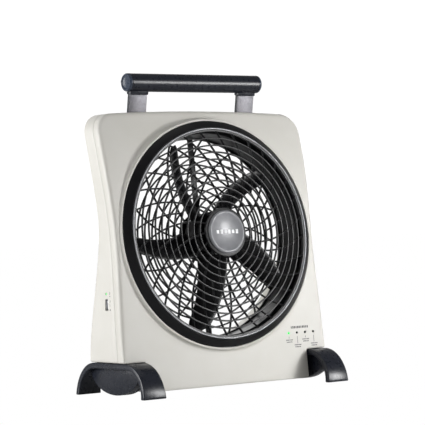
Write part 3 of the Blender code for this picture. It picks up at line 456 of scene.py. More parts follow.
class Graph:
    """The nodes of one material, round its Principled shader."""

    def __init__(self, material: bpy.types.Material) -> None:
        """Start from the material's own shader.

        Args:
            material: the new material.
        """
        material.use_nodes = True
        self.nodes = material.node_tree.nodes
        self.links = material.node_tree.links
        self.shader = self.nodes["Principled BSDF"]
        self.place = self.nodes.new("ShaderNodeTexCoord").outputs["Object"]

    def set(self, **values: float | Colour) -> None:
        """Set the shader's own sockets, with _ for a space in their names."""
        for name, value in values.items():
            self.shader.inputs[name.replace("_", " ")].default_value = value

    def feed(self, name: str, socket: bpy.types.NodeSocket) -> None:
        """Link a socket to one of the shader's inputs."""
        self.links.new(socket, self.shader.inputs[name])

    def noise(self, size: float, detail: float = 2.0,
              stretch: tuple[float, float, float] = (1, 1, 1)) -> bpy.types.NodeSocket:
        """Smooth noise.

        Args:
            size: width of its features.
            detail: finer layers on top.
            stretch: how much longer the features are along each axis.

        Returns:
            The noise as a value about 0.5.
        """
        mapping = self.nodes.new("ShaderNodeMapping")
        mapping.inputs["Scale"].default_value = [1 / part for part in stretch]
        self.links.new(self.place, mapping.inputs["Vector"])
        node = self.nodes.new("ShaderNodeTexNoise")
        node.inputs["Scale"].default_value = 1 / size
        node.inputs["Detail"].default_value = detail
        self.links.new(mapping.outputs["Vector"], node.inputs["Vector"])
        return node.outputs["Fac"]

    def bands(self, size: float, axis: str) -> bpy.types.NodeSocket:
        """Even waves along an axis, with a given wave length.

        Args:
            size: length of one wave.
            axis: X, Y, Z or DIAGONAL.

        Returns:
            The wave's value.
        """
        node = self.nodes.new("ShaderNodeTexWave")
        node.bands_direction = axis
        node.inputs["Scale"].default_value = math.pi / (10 * size)
        self.links.new(self.place, node.inputs["Vector"])
        return node.outputs["Fac"]

    def blend(self, source: bpy.types.NodeSocket, stops: Sequence[tuple[float, Colour]]
              ) -> bpy.types.NodeSocket:
        """Turn a value into a colour by a row of stops.

        Args:
            source: the value.
            stops: each stop's position and colour.

        Returns:
            The colour.
        """
        ramp = self.nodes.new("ShaderNodeValToRGB")
        elements = ramp.color_ramp.elements
        while len(elements) < len(stops):
            elements.new(1.0)
        for element, (position, colour) in zip(elements, stops):
            element.position = position
            element.color = colour
        self.links.new(source, ramp.inputs["Fac"])
        return ramp.outputs["Color"]

    def span(self, source: bpy.types.NodeSocket, low: float, high: float,
             from_low: float = 0.3, from_high: float = 0.7) -> bpy.types.NodeSocket:
        """Stretch a value's usual range to another one.

        Args:
            source: the value.
            low: result at the range's low end.
            high: result at its high end.
            from_low: low end of the value's range.
            from_high: high end of it.

        Returns:
            The stretched value.
        """
        node = self.nodes.new("ShaderNodeMapRange")
        node.inputs["From Min"].default_value = from_low
        node.inputs["From Max"].default_value = from_high
        node.inputs["To Min"].default_value = low
        node.inputs["To Max"].default_value = high
        self.links.new(source, node.inputs["Value"])
        return node.outputs["Result"]

    def bump(self, source: bpy.types.NodeSocket, height: float, strength: float = 1.0) -> None:
        """Raise the surface by a value.

        Args:
            source: the value.
            height: the rise in metres.
            strength: share of the effect.
        """
        node = self.nodes.new("ShaderNodeBump")
        node.inputs["Distance"].default_value = height
        node.inputs["Strength"].default_value = strength
        self.links.new(source, node.inputs["Height"])
        before = self.shader.inputs["Normal"].links
        if before:
            self.links.new(before[0].from_socket, node.inputs["Normal"])
        self.feed("Normal", node.outputs["Normal"])


@dataclass(frozen=True)
class Finish:
    """A surface that pieces are made in.

    Attributes:
        name: of the material.
        slot: the record's slot it belongs to.
        colour: the main colour.
        second: the colour its mottling leans to.
        rough: mean roughness.
        rough_spread: how far the roughness strays.
        mottle: width of the colour's mottling.
        grain: width of the surface grain.
        relief: height of the grain.
    """

    name: str
    slot: Slot
    colour: Colour
    second: Colour
    rough: float = 0.4
    rough_spread: float = 0.05
    mottle: float = 0.03
    grain: float = 0.0006
    relief: float = 0.00001

    def material(self) -> bpy.types.Material:
        """The finish as a material, made once.

        Returns:
            The material.
        """
        known = bpy.data.materials.get(self.name)
        if known:
            return known
        made = bpy.data.materials.new(self.name)
        made.diffuse_color = self.colour
        self.build(Graph(made))
        return made

    def build(self, graph: Graph) -> None:
        """Make the nodes.

        Args:
            graph: the material's nodes.
        """
        mottling = graph.noise(self.mottle, 3)
        graph.feed("Base Color", graph.blend(mottling, [(0.35, self.colour),
                                                        (0.65, self.second)]))
        low, high = self.rough - self.rough_spread, self.rough + self.rough_spread
        graph.feed("Roughness", graph.span(graph.noise(self.mottle / 5, 4), low, high))
        graph.bump(graph.noise(self.grain, 2), self.relief)


@dataclass(frozen=True)
class Moulded(Finish):
    """Injection-moulded plastic: even sheen, fine grain and faint flow marks."""

    specular: float = 0.5
    coat: float = 0.0

    def build(self, graph: Graph) -> None:
        """Add flow marks and sheen to the common grain.

        Args:
            graph: the material's nodes.
        """
        mottling = graph.noise(self.mottle, 3)
        base = graph.blend(mottling, [(0.35, self.colour), (0.65, self.second)])
        graph.feed("Base Color", base)
        low, high = self.rough - self.rough_spread, self.rough + self.rough_spread
        graph.feed("Roughness", graph.span(graph.noise(self.mottle / 4, 4), low, high))
        graph.bump(graph.noise(self.grain, 2), self.relief)
        graph.set(Specular_IOR_Level=self.specular, Coat_Weight=self.coat, Coat_Roughness=0.2)


@dataclass(frozen=True)
class Brushed(Finish):
    """Metal with fine lines along one axis."""

    along: tuple[float, float, float] = (1, 1, 60)
    metal: float = 1.0

    def build(self, graph: Graph) -> None:
        """Stretch the noise into brush lines.

        Args:
            graph: the material's nodes.
        """
        lines = graph.noise(self.grain, 3, self.along)
        graph.feed("Base Color", graph.blend(lines, [(0.3, self.colour), (0.7, self.second)]))
        low, high = self.rough - self.rough_spread, self.rough + self.rough_spread
        graph.feed("Roughness", graph.span(lines, low, high))
        graph.bump(lines, self.relief)
        graph.set(Metallic=self.metal)


@dataclass(frozen=True)
class Wound(Finish):
    """Copper windings between steel stacks."""

    def build(self, graph: Graph) -> None:
        """Lay wire bands over the colour.

        Args:
            graph: the material's nodes.
        """
        wires = graph.bands(0.0008, "Z")
        graph.feed("Base Color", graph.blend(wires, [(0.2, self.second), (0.8, self.colour)]))
        graph.feed("Roughness", graph.span(wires, self.rough - 0.1, self.rough + 0.1, 0, 1))
        graph.bump(wires, 0.0002)
        graph.set(Metallic=0.9)


@dataclass(frozen=True)
class Glowing(Finish):
    """A small translucent lens with a light behind it."""

    glow: float = 0.0

    def build(self, graph: Graph) -> None:
        """Light the lens evenly, with a faint cloud in its body.

        Args:
            graph: the material's nodes.
        """
        cloud = graph.noise(0.0007, 2)
        graph.feed("Base Color", graph.blend(cloud, [(0.3, self.colour), (0.7, self.second)]))
        graph.feed("Roughness", graph.span(cloud, self.rough - 0.05, self.rough + 0.05))
        graph.set(Emission_Color=self.colour, Emission_Strength=self.glow, Coat_Weight=0.5)


@dataclass(frozen=True)
class Jacket(Finish):
    """A cell's printed sleeve: a light band near one end."""

    def build(self, graph: Graph) -> None:
        """Paint the sleeve in two colours with fine print lines.

        Args:
            graph: the material's nodes.
        """
        lines = graph.bands(0.045, "X")
        graph.feed("Base Color", graph.blend(lines, [(0.80, self.colour), (0.86, self.second)]))
        graph.feed("Roughness", graph.span(graph.noise(0.004, 3), self.rough - 0.08,
                                           self.rough + 0.08))
        graph.bump(graph.noise(0.002, 2), 0.00002)
        graph.set(Metallic=0.35)


@dataclass(frozen=True)
class CircuitBoard(Finish):
    """Solder mask over copper tracks."""

    def build(self, graph: Graph) -> None:
        """Show the tracks as slightly lighter bands.

        Args:
            graph: the material's nodes.
        """
        tracks = graph.bands(0.0022, "DIAGONAL")
        graph.feed("Base Color", graph.blend(tracks, [(0.5, self.colour), (0.62, self.second)]))
        graph.feed("Roughness", graph.span(graph.noise(0.003, 2), 0.3, 0.5))
        graph.bump(tracks, 0.00005)


CASE = Moulded("warm_grey_case", Slot.HOUSING, paint(207, 205, 199), paint(204, 202, 195),
               rough=0.46, rough_spread=0.03, mottle=0.05, grain=0.0005, relief=0.000006,
               specular=0.4)
GLOSS_BLACK = Moulded("gloss_black_plastic", Slot.BLACK, paint(14, 14, 16), paint(19, 19, 21),
                      rough=0.34, rough_spread=0.05, mottle=0.02, grain=0.0007,
                      relief=0.000004, specular=0.22)
LATTICE_BLACK = Moulded("lattice_black_plastic", Slot.BLACK, paint(19, 19, 21),
                        paint(24, 24, 26), rough=0.38, rough_spread=0.04, mottle=0.02,
                        grain=0.0007, relief=0.000004, specular=0.28)
ROTOR_BLACK = Moulded("satin_black_rotor", Slot.BLACK, paint(12, 12, 14), paint(17, 17, 19),
                      rough=0.30, rough_spread=0.06, mottle=0.02, grain=0.0009,
                      relief=0.000004, specular=0.3)
SLATE = Moulded("slate_plastic", Slot.SLATE, paint(27, 30, 38), paint(31, 34, 43), rough=0.28,
                rough_spread=0.015, mottle=0.02, grain=0.0008, relief=0.000002, specular=0.35)
BADGE_GREY = Moulded("badge_grey", Slot.BADGE, paint(124, 125, 129), paint(131, 132, 136),
                     rough=0.38, rough_spread=0.05, mottle=0.008, grain=0.0004,
                     relief=0.000004, coat=0.2)
SILVER_TRIM = Brushed("silver_trim", Slot.BADGE, paint(146, 147, 150), paint(132, 133, 136),
                      rough=0.38, rough_spread=0.03, grain=0.0030, relief=0.000002,
                      along=(6, 1, 6), metal=0.4)
BADGE_MARK = Moulded("pale_badge_mark", Slot.BADGE, paint(222, 223, 225), paint(210, 211, 214),
                     rough=0.4, mottle=0.004, grain=0.0003, relief=0.000002)
# The grip's slate plastic painted lighter and bluer for both end caps: painted light, standing in for the light
# the caps catch from the left.
PAINTED_LIT_SLATE = Moulded("slate_cap_painted_lit", Slot.SLATE, paint(52, 60, 74), paint(58, 66, 80),
                    rough=0.28, rough_spread=0.02, mottle=0.01, grain=0.0008,
                    relief=0.000004, specular=0.4)
STRAP_METAL = Brushed("brushed_strap", Slot.STRAP, paint(106, 105, 109), paint(84, 83, 87),
                      rough=0.42, rough_spread=0.10, grain=0.0005, relief=0.00002,
                      along=(1, 1, 70), metal=0.6)
STEEL = Brushed("plated_steel", Slot.STEEL, paint(196, 197, 199), paint(166, 167, 170),
                rough=0.30, rough_spread=0.08, grain=0.0006, relief=0.000006,
                along=(1, 14, 1))
COPPER = Wound("copper_windings", Slot.COPPER, paint(201, 122, 72), paint(120, 62, 34),
               rough=0.35)
ZINC = Brushed("zinc_plating", Slot.ZINC, paint(178, 179, 178), paint(148, 150, 152),
               rough=0.36, rough_spread=0.08, grain=0.0005, relief=0.00001, along=(1, 1, 1))
BOARD = CircuitBoard("green_circuit_board", Slot.BOARD, paint(22, 84, 48), paint(44, 116, 66))
LIT_LENS = Glowing("green_lit_lens", Slot.LIT, paint(96, 226, 118), paint(60, 190, 90),
                   rough=0.25, glow=0.9)
DARK_LENS = Glowing("smoked_lens", Slot.LENS, paint(52, 54, 52), paint(38, 40, 39), rough=0.25)
SLEEVE = Jacket("cell_sleeve", Slot.CELL, paint(30, 27, 26), paint(196, 128, 60), rough=0.32)
SINTER = Finish("sintered_magnet", Slot.MAGNET, paint(62, 62, 64), paint(46, 46, 48),
                rough=0.62, mottle=0.002, relief=0.00003)
PRINT = Finish("grey_print", Slot.HOUSING, paint(70, 70, 70), paint(84, 84, 83), rough=0.6,
               mottle=0.001, relief=0.000002)
SLOT_FINISH = {finish.slot: finish for finish in (
    CASE, GLOSS_BLACK, SLATE, BADGE_GREY, STRAP_METAL, STEEL, COPPER, ZINC, BOARD, LIT_LENS,
    DARK_LENS, SLEEVE, SINTER)}


# ================================================================= pieces
def add_piece(name: str, bm: bmesh.types.BMesh, finish: Finish, body: Body = Body.ROOT,
              stands_for: Sequence[str] = (), at: Matrix | None = None,
              sharp: float = SHARP) -> bpy.types.Object:
    """Make a mesh a piece of the fan.

    Args:
        name: of the piece.
        bm: its mesh, which is used up.
        finish: what it is made in.
        body: what it moves with.
        stands_for: the CAD nodes it replaces.
        at: the frame that its mesh is in, if it isn't the part's own.
        sharp: edges that turn by more than this stay sharp.

    Returns:
        The piece's object, at the origin.
    """
    if at is not None:
        bm.transform(at)
    bmesh.ops.recalc_face_normals(bm, faces=bm.faces)
    if bm.calc_volume(signed=True) < 0:
        bmesh.ops.reverse_faces(bm, faces=bm.faces)
    mesh = bpy.data.meshes.new(name)
    bm.to_mesh(mesh)
    bm.free()
    mesh.materials.append(finish.material())
    mesh.shade_smooth()
    mesh.set_sharp_from_angle(angle=sharp)
    obj = bpy.data.objects.new(name, mesh)
    bpy.context.scene.collection.objects.link(obj)
    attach(obj, body.value)
    if stands_for:
        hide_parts(*stands_for)
    LOG.info("%s: %d faces", name, len(mesh.polygons))
    return obj


@dataclass
class Form:
    """The housing's form: the heights, widths and depths that every outer wall follows."""

    crown: float = 0.0030
    corner_r: float = 0.026
    waist_in: float = 0.0036
    waist_z: float = 0.182
    waist_span: float = 0.128
    face_y: float = -0.0205
    bend_z: float = 0.190
    slope: float = 0.088
    curl: float = 1.40
    depth: float = 0.036
    base_y: float = 0.0435
    ramp_z: float = 0.068
    ramp_slope: float = 0.194
    ramp_blend: float = 0.006
    base_blend: float = 0.004
    seam: float = 0.0135
    edge_r: float = 0.0044
    low_edge_r: float = 0.0016
    notch_r: float = 0.0026
    half_w: float = field(init=False)
    bottom: float = field(init=False)
    top: float = field(init=False)
    notch_x: float = field(init=False)
    notch_z: float = field(init=False)
    outline: list[tuple[Vector, Vector, float]] = field(init=False)

    def __post_init__(self) -> None:
        """Take the overall sizes from the CAD housing and feet, and draw the outline."""
        low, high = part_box("rear_housing")
        foot_low, foot_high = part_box("right_foot")
        self.half_w, self.bottom, self.top = high.x, low.z, high.z
        self.notch_z = foot_high.z + 2 * GAP
        crown_w = (foot_high.x - foot_low.x) / (1 + 2 * FOOT_FLARE)
        self.notch_x = self.half_w - crown_w - 0.0016
        self.outline = self.draw_outline()

    def front_y(self, z: float) -> float:
        """Front face at a height."""
        rise = z - self.bend_z
        return self.face_y + self.slope * rise + 0.5 * self.curl * max(rise, 0.0) ** 2

    def rear_y(self, z: float) -> float:
        """Rear face at a height: upright, then a ramp, then level with the front.

        Args:
            z: the height.

        Returns:
            The face's Y there.
        """
        ramp = self.base_y - self.ramp_slope * (z - self.ramp_z)
        low = (self.base_y + ramp - math.hypot(self.base_y - ramp, self.base_blend)) / 2
        high = self.front_y(z) + self.depth
        return (low + high + math.hypot(low - high, self.ramp_blend)) / 2

    def half_width(self, z: float) -> float:
        """Half width at a height, drawn in at the waist."""
        share = min(abs(z - self.waist_z) / self.waist_span, 1.0)
        return self.half_w - self.waist_in * (0.5 + 0.5 * math.cos(math.pi * share))

    def draw_outline(self) -> list[tuple[Vector, Vector, float]]:
        """The front silhouette.

        Returns:
            Each point in (X, Z), its outward direction and the edge rounding there.
        """
        corner_z = self.top - self.crown - self.corner_r
        centre_x = self.half_width(corner_z) - self.corner_r
        top_steps, side_steps, low_steps = 16, 44, 18
        right = []
        for step in range(top_steps):
            x = centre_x * step / top_steps
            right.append((x, self.top - self.crown * (x / centre_x) ** 2))
        right += arc((centre_x, corner_z), (self.corner_r, self.corner_r), 90, 0, 14)
        side_end = self.notch_z + self.notch_r
        for step in range(1, side_steps):
            z = corner_z + (side_end - corner_z) * step / side_steps
            right.append((self.half_width(z), z))
        wide = self.half_width(side_end)
        right += arc((wide - self.notch_r, side_end), (self.notch_r, self.notch_r), 0, -90, 4)
        roof = [(wide - self.notch_r, self.notch_z), (self.notch_x, self.notch_z)]
        right += [(roof[0][0] + (roof[1][0] - roof[0][0]) * step / 6, self.notch_z)
                  for step in range(1, 6)]
        right += [(self.notch_x, self.notch_z)]
        low_r = 0.004
        wall_end = self.bottom + low_r
        right += [(self.notch_x, self.notch_z + (wall_end - self.notch_z) * step / 9)
                  for step in range(1, 9)]
        right += arc((self.notch_x - low_r, wall_end), (low_r, low_r), 0, -90, 5)
        right += [((self.notch_x - low_r) * (1 - step / low_steps), self.bottom)
                  for step in range(1, low_steps + 1)]
        points = [Vector(point) for point in right]
        points += [Vector((-point[0], point[1])) for point in reversed(right[1:-1])]
        count = len(points)
        edges = [self.edge_r if point.y > self.notch_z + 0.012 else self.low_edge_r
                 for point in points]
        for _ in range(10):
            edges = [(edges[index - 1] + edges[index] + edges[(index + 1) % count]) / 3
                     for index in range(count)]
        outline = []
        for index, point in enumerate(points):
            along = points[(index + 1) % count] - points[index - 1]
            outline.append((point, Vector((-along.y, along.x)).normalized(), edges[index]))
        return outline

    def at(self, index: int, inset: float) -> tuple[float, float]:
        """A point of the outline drawn in by an inset, as X and Z.

        Args:
            index: the outline point.
            inset: how far in it is drawn.

        Returns:
            Its X and Z.
        """
        point, outward, _ = self.outline[index]
        drawn = point - outward * inset
        return drawn.x, drawn.y

    def angle(self, index: int) -> float:
        """Direction of an outline point from the fan's axis."""
        point = self.outline[index][0]
        return math.atan2(point.y - HEAD.translation.z, point.x)

    def ring(self, index: int, radius: float, height: float) -> Vector:
        """The point of a circle round the fan's axis that lies towards an outline point."""
        angle = self.angle(index)
        return HEAD @ Vector((radius * math.cos(angle), radius * math.sin(angle), height))

    def face_height(self, index: int, radius: float, wall: Callable[[float], float]) -> float:
        """Height over the head's zero plane at which a circle meets a wall.

        Args:
            index: the outline point that sets the direction.
            radius: of the circle.
            wall: the wall's Y at a height.

        Returns:
            The height in the head's frame.
        """
        height = 0.0
        for _ in range(5):
            point = self.ring(index, radius, height)
            height -= (point.y - wall(point.z)) / HEAD.to_3x3().col[2].y
        return height

    def across(self, index: int, start: Vector, inset: float, share: float,
               wall: Callable[[float], float]) -> Vector:
        """A point of a wall between a start point and the inset outline.

        Args:
            index: the outline point.
            start: where the span starts.
            inset: how far in the outline is drawn.
            share: of the way to it.
            wall: the wall's Y at a height.

        Returns:
            The point.
        """
        x, z = self.at(index, inset)
        x = start.x + (x - start.x) * share
        z = start.z + (z - start.z) * share
        return Vector((x, wall(z), z))


@dataclass
class Housing:
    """Front and rear shells, their screws and everything let into them."""

    form: Form
    ring_r: float = field(init=False)
    tunnel_r: float = field(init=False)
    crest_w: float = 0.0030
    spread: float = 0.0033
    spread_depth: float = 0.0160
    skirt: float = 0.0200
    tunnel_front: float = -0.0340
    face_steps: int = 10
    rear_steps: int = 24

    def __post_init__(self) -> None:
        """Take the hole sizes from the pieces that fill them."""
        self.ring_r = radius_of("front_bezel") + GAP
        self.tunnel_r = radius_of("rear_grille") + 2 * GAP

    def build(self) -> None:
        """Make both shells and the screws that hold them."""
        shell = self.shell(self.front_column)
        shell = carve(shell, *self.front_holes())
        add_piece("front_shell", shell, CASE, stands_for=["front_housing"])
        shell = self.shell(self.rear_column)
        shell = carve(shell, *self.rear_holes())
        add_piece("rear_shell", shell, CASE, stands_for=["rear_housing"])
        for number in range(1, 5):
            node = f"housing_screw_{number}"
            Screw(node).build()

    def shell(self, column: Callable[[int], list[Vector]]) -> bmesh.types.BMesh:
        """A closed shell whose walls are drawn column by column round the outline.

        Args:
            column: gives the section towards an outline point.

        Returns:
            The shell.
        """
        columns = [column(index) for index in range(len(self.form.outline))]
        bm = new_mesh()
        patch(bm, len(columns), len(columns[0]), lambda a, b: columns[a][b], wrap=(True, True))
        return bm

    def front_column(self, index: int) -> list[Vector]:
        """The front shell's section towards one outline point, all the way round its wall.

        Args:
            index: the outline point.

        Returns:
            The section's points in order.
        """
        form = self.form
        ring_r, crest_r = self.ring_r, self.ring_r - GAP + self.crest_w
        edge = form.outline[index][2]
        points = [form.ring(index, radius, height) for radius, height in (
            (ring_r, -self.skirt), (ring_r, -0.0100), (ring_r, -0.0012), (ring_r + 0.0003, -0.0003),
            (ring_r + 0.0010, 0), (crest_r - 0.0010, 0), (crest_r - 0.0002, -0.0003),
            (crest_r, -0.0009))]
        foot_r = crest_r + self.spread * 0.2
        for _ in range(3):
            foot = form.face_height(index, foot_r, form.front_y)
            foot_r = crest_r + self.spread * min(-foot / self.spread_depth, 1.0)
        blend = min(0.0042, max((-foot - 0.0010) * 0.7, 0.0004))
        start = form.ring(index, foot_r - blend * 0.2, foot + blend)
        corner = form.ring(index, foot_r, foot)
        end = form.ring(index, foot_r + blend, form.face_height(index, foot_r + blend,
                                                                form.front_y))
        middle = (points[-1] + start) / 2
        points.append(middle)
        for step in range(5):
            share = step / 4
            points.append(start * (1 - share) ** 2 + corner * 2 * share * (1 - share)
                          + end * share ** 2)
        for step in range(1, self.face_steps):
            points.append(form.across(index, end, edge, step / self.face_steps, form.front_y))
        for step in range(6):
            angle = math.pi / 2 * step / 5
            x, z = form.at(index, edge * (1 - math.sin(angle)))
            points.append(Vector((x, form.front_y(z) + edge * (1 - math.cos(angle)), z)))
        for inset, depth in ((0, form.seam - 0.0006), (0.0003, form.seam - GAP / 2),
                             (WALL, form.seam - GAP / 2), (WALL, WALL + edge * 0.4)):
            x, z = form.at(index, inset)
            points.append(Vector((x, form.front_y(z) + depth, z)))
        inner_r = ring_r + WALL
        inner = form.ring(index, inner_r, form.face_height(index, inner_r, form.front_y) - WALL)
        for step in range(5):
            point = form.across(index, inner, WALL + edge * 0.4, 1 - step / 4, form.front_y)
            points.append(point + Vector((0, WALL, 0)))
        points.append(form.ring(index, inner_r, -self.skirt))
        return points

    def rear_column(self, index: int) -> list[Vector]:
        """The rear shell's section towards one outline point.

        Args:
            index: the outline point.

        Returns:
            The section's points in order.
        """
        form = self.form
        edge = form.outline[index][2] * 0.9
        lip = 0.0016
        back = form.face_height(index, self.tunnel_r, form.rear_y)
        points = [form.ring(index, self.tunnel_r, self.tunnel_front + (back + lip
                  - self.tunnel_front) * step / 3) for step in range(4)]
        points.append(form.ring(index, self.tunnel_r + lip * 0.3, back + lip * 0.3))
        start = form.ring(index, self.tunnel_r + lip,
                          form.face_height(index, self.tunnel_r + lip, form.rear_y))
        for step in range(self.rear_steps):
            points.append(form.across(index, start, edge, step / self.rear_steps, form.rear_y))
        for step in range(6):
            angle = math.pi / 2 * step / 5
            x, z = form.at(index, edge * (1 - math.sin(angle)))
            points.append(Vector((x, form.rear_y(z) - edge * (1 - math.cos(angle)), z)))
        x, z = form.at(index, 0)
        seam = form.front_y(z) + form.seam
        rear = form.rear_y(z) - edge
        for step in range(1, 7):
            points.append(Vector((x, rear + (seam + 0.0006 - rear) * step / 6, z)))
        for inset in (0.0003, WALL):
            x, z = form.at(index, inset)
            points.append(Vector((x, form.front_y(z) + form.seam + GAP / 2, z)))
        x, z = form.at(index, WALL)
        points.append(Vector((x, form.rear_y(z) - WALL - edge * 0.4, z)))
        inner_r = self.tunnel_r + WALL
        inner = form.ring(index, inner_r, form.face_height(index, inner_r, form.rear_y))
        for step in range(11):
            point = form.across(index, inner, WALL + edge * 0.4, 1 - step / 10, form.rear_y)
            points.append(point - Vector((0, WALL, 0)))
        points.append(form.ring(index, inner_r, self.tunnel_front))
        return points

    def front_holes(self) -> list[bmesh.types.BMesh]:
        """Cutters for the indicator lights' holes.

        Returns:
            The cutting solids.
        """
        cutters = []
        for number in range(1, 5):
            middle, out, radius = lens_place(f"indicator_led_{number}")
            cutters.append(rod(middle - out * 0.012, middle + out * 0.012, radius + GAP, 28))
        return cutters

    def rear_holes(self) -> list[bmesh.types.BMesh]:
        """Cutters for the screws, the ports, the handle's slots and the battery door.

        Returns:
            The cutting solids.
        """
        far = 0.05
        cutters = []
        for number in range(1, 5):
            low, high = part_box(f"housing_screw_{number}")
            middle = (low + high) / 2
            radius = (high.x - low.x) / 2 + GAP
            start = Vector((middle.x, high.y - 0.0030, middle.z))
            cutters.append(rod(start, start + Vector((0, far, 0)), radius, 32))
        for node in ("usb_socket", "switch_rocker"):
            low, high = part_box(node)
            room = Vector((far, 2 * GAP, 2 * GAP))
            cutters.append(block(low - room, high + room, 0.0006))
        for node, radius in (("side_led", 0.0017), ("dc_jack", 0.0037)):
            low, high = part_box(node)
            middle = (low + high) / 2
            reach = Vector((far, 0, 0))
            cutters.append(rod(middle - reach, middle + reach, radius, 32))
        for node in ("handle_strap_left", "handle_strap_right"):
            low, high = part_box(node)
            room = 0.0006
            slot_low = Vector((low.x - room, 0.005, self.form.top - 0.0385))
            slot_high = Vector((high.x + room, 0.09, self.form.top + far))
            cutters.append(block(slot_low, slot_high, 0.0008))
        low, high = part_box("battery_door")
        room = Vector((0.0005, 0, 0.0005))
        cutters.append(block(low - room - Vector((0, 0.004, 0)), high + room
                             + Vector((0, far, 0)), 0.0010))
        return cutters


def lens_place(node: str) -> tuple[Vector, Vector, float]:
    """Where an indicator light's lens stands.

    Args:
        node: the light's CAD node.

    Returns:
        The middle of its outer end, the direction it faces and its radius.
    """
    low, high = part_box(node)
    out = HEAD.to_3x3().col[2].copy()
    local = HEAD_INVERSE @ ((low + high) / 2)
    half = (high.x - low.x) / 2
    tips = [(HEAD_INVERSE @ vert.co).z for vert in frame["nodes"][node].data.vertices]
    return HEAD @ Vector((local.x, local.y, max(tips))), out, half


@dataclass
class Screw:
    """A pan-head screw with a cross recess, in the place of its CAD node."""

    node: str
    shank_share: float = 0.47
    head_h: float = 0.0026

    def build(self) -> None:
        """Turn the head and shank along the node's long axis and cut the recess."""
        mesh = frame["nodes"][self.node].data
        low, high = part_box(self.node)
        size = high - low
        longest = max(range(3), key=lambda axis: size[axis])
        along = Vector([1.0 if axis == longest else 0.0 for axis in range(3)])
        if self.node.startswith("motor"):
            along = HEAD.to_3x3().col[2].copy()
        middle = (low + high) / 2
        spread = {}
        for vert in mesh.vertices:
            side = (vert.co - middle).dot(along) > 0
            off = (vert.co - middle) - along * (vert.co - middle).dot(along)
            spread[side] = max(spread.get(side, 0), off.length)
        head_side = spread[True] > spread[False]
        top = along if head_side else -along
        reach = [(vert.co - middle).dot(top) for vert in mesh.vertices]
        head_r = max(spread.values())
        shank_r, head_h = head_r * self.shank_share, self.head_h
        length = max(reach) - min(reach)
        outline = [(0, 0), (head_r * 0.55, -0.0001), (head_r * 0.85, -0.0006),
                   (head_r, -0.0014), (head_r, -head_h), (shank_r, -head_h)]
        outline += self.thread(shank_r, -head_h - 0.0004, -length + 0.001)
        outline += [(shank_r * 0.5, -length), (0, -length)]
        bm = new_mesh()
        turn(bm, outline, 24, closed=False)
        arm, thick, deep = head_r * 0.55, head_r * 0.11, 0.0012
        cuts = [block((-arm, -thick, -deep), (arm, thick, deep)),
                block((-thick, -arm, -deep), (thick, arm, deep))]
        bm = carve(bm, *cuts)
        aim = Vector((0, 0, 1)).rotation_difference(top).to_matrix().to_4x4()
        place = Matrix.Translation(middle + top * max(reach)) @ aim
        add_piece(self.node + "_head", bm, ZINC, stands_for=[self.node], at=place)

    def thread(self, radius: float, start: float, end: float) -> list[tuple[float, float]]:
        """Ridges of the thread, as rings.

        Args:
            radius: over the ridges.
            start: height of the first ridge.
            end: height that they stop above.

        Returns:
            Radii and heights in order.
        """
        pitch = 0.0011
        count = max(int((start - end) / pitch), 1)
        ridges = []
        for step in range(count):
            z = start - step * pitch
            ridges += [(radius * 0.8, z), (radius, z - pitch * 0.5)]
        return ridges


@dataclass
class Bezel:
    """The conical ring round the front grille, and the duct behind it."""

    outer_r: float = field(init=False)
    seat_r: float = field(init=False)
    front: float = 0.0070
    back: float = -0.0030
    lip: float = 0.0020

    def __post_init__(self) -> None:
        """Take the radii from the CAD ring and grille."""
        self.outer_r = radius_of("front_bezel")
        self.seat_r = radius_of("front_grille") + 0.0005

    def build(self) -> None:
        """Make the ring and the duct."""
        ledge = self.front - 0.00375
        profile = rounded([(self.seat_r + 0.0004, self.front), (self.outer_r, 0.0004),
                           (self.outer_r, self.back), (self.seat_r - self.lip, self.back),
                           (self.seat_r - self.lip, ledge), (self.seat_r, ledge),
                           (self.seat_r, self.front - 0.0004)], 0.0008, 3)
        bm = new_mesh()
        turn(bm, profile)
        add_piece("bezel_ring", bm, GLOSS_BLACK, stands_for=["front_bezel"], at=HEAD)
        self.duct()

    def duct(self) -> None:
        """The air duct: a flanged ring."""
        flange_r = self.outer_r - 0.0006
        inner, wall = self.outer_r - DUCT_STEP, 0.0022
        front = self.back - GAP
        end = front - 0.0370
        outer = inner + wall
        profile = rounded([(flange_r, front), (flange_r, front - wall), (outer, front - wall),
                           (outer, end), (inner, end), (inner + 0.0003, front - 0.004),
                           (inner + 0.0030, front)], 0.0006, 3)
        bm = new_mesh()
        turn(bm, profile)
        add_piece("air_duct", bm, GLOSS_BLACK, stands_for=["duct_ring"], at=HEAD)


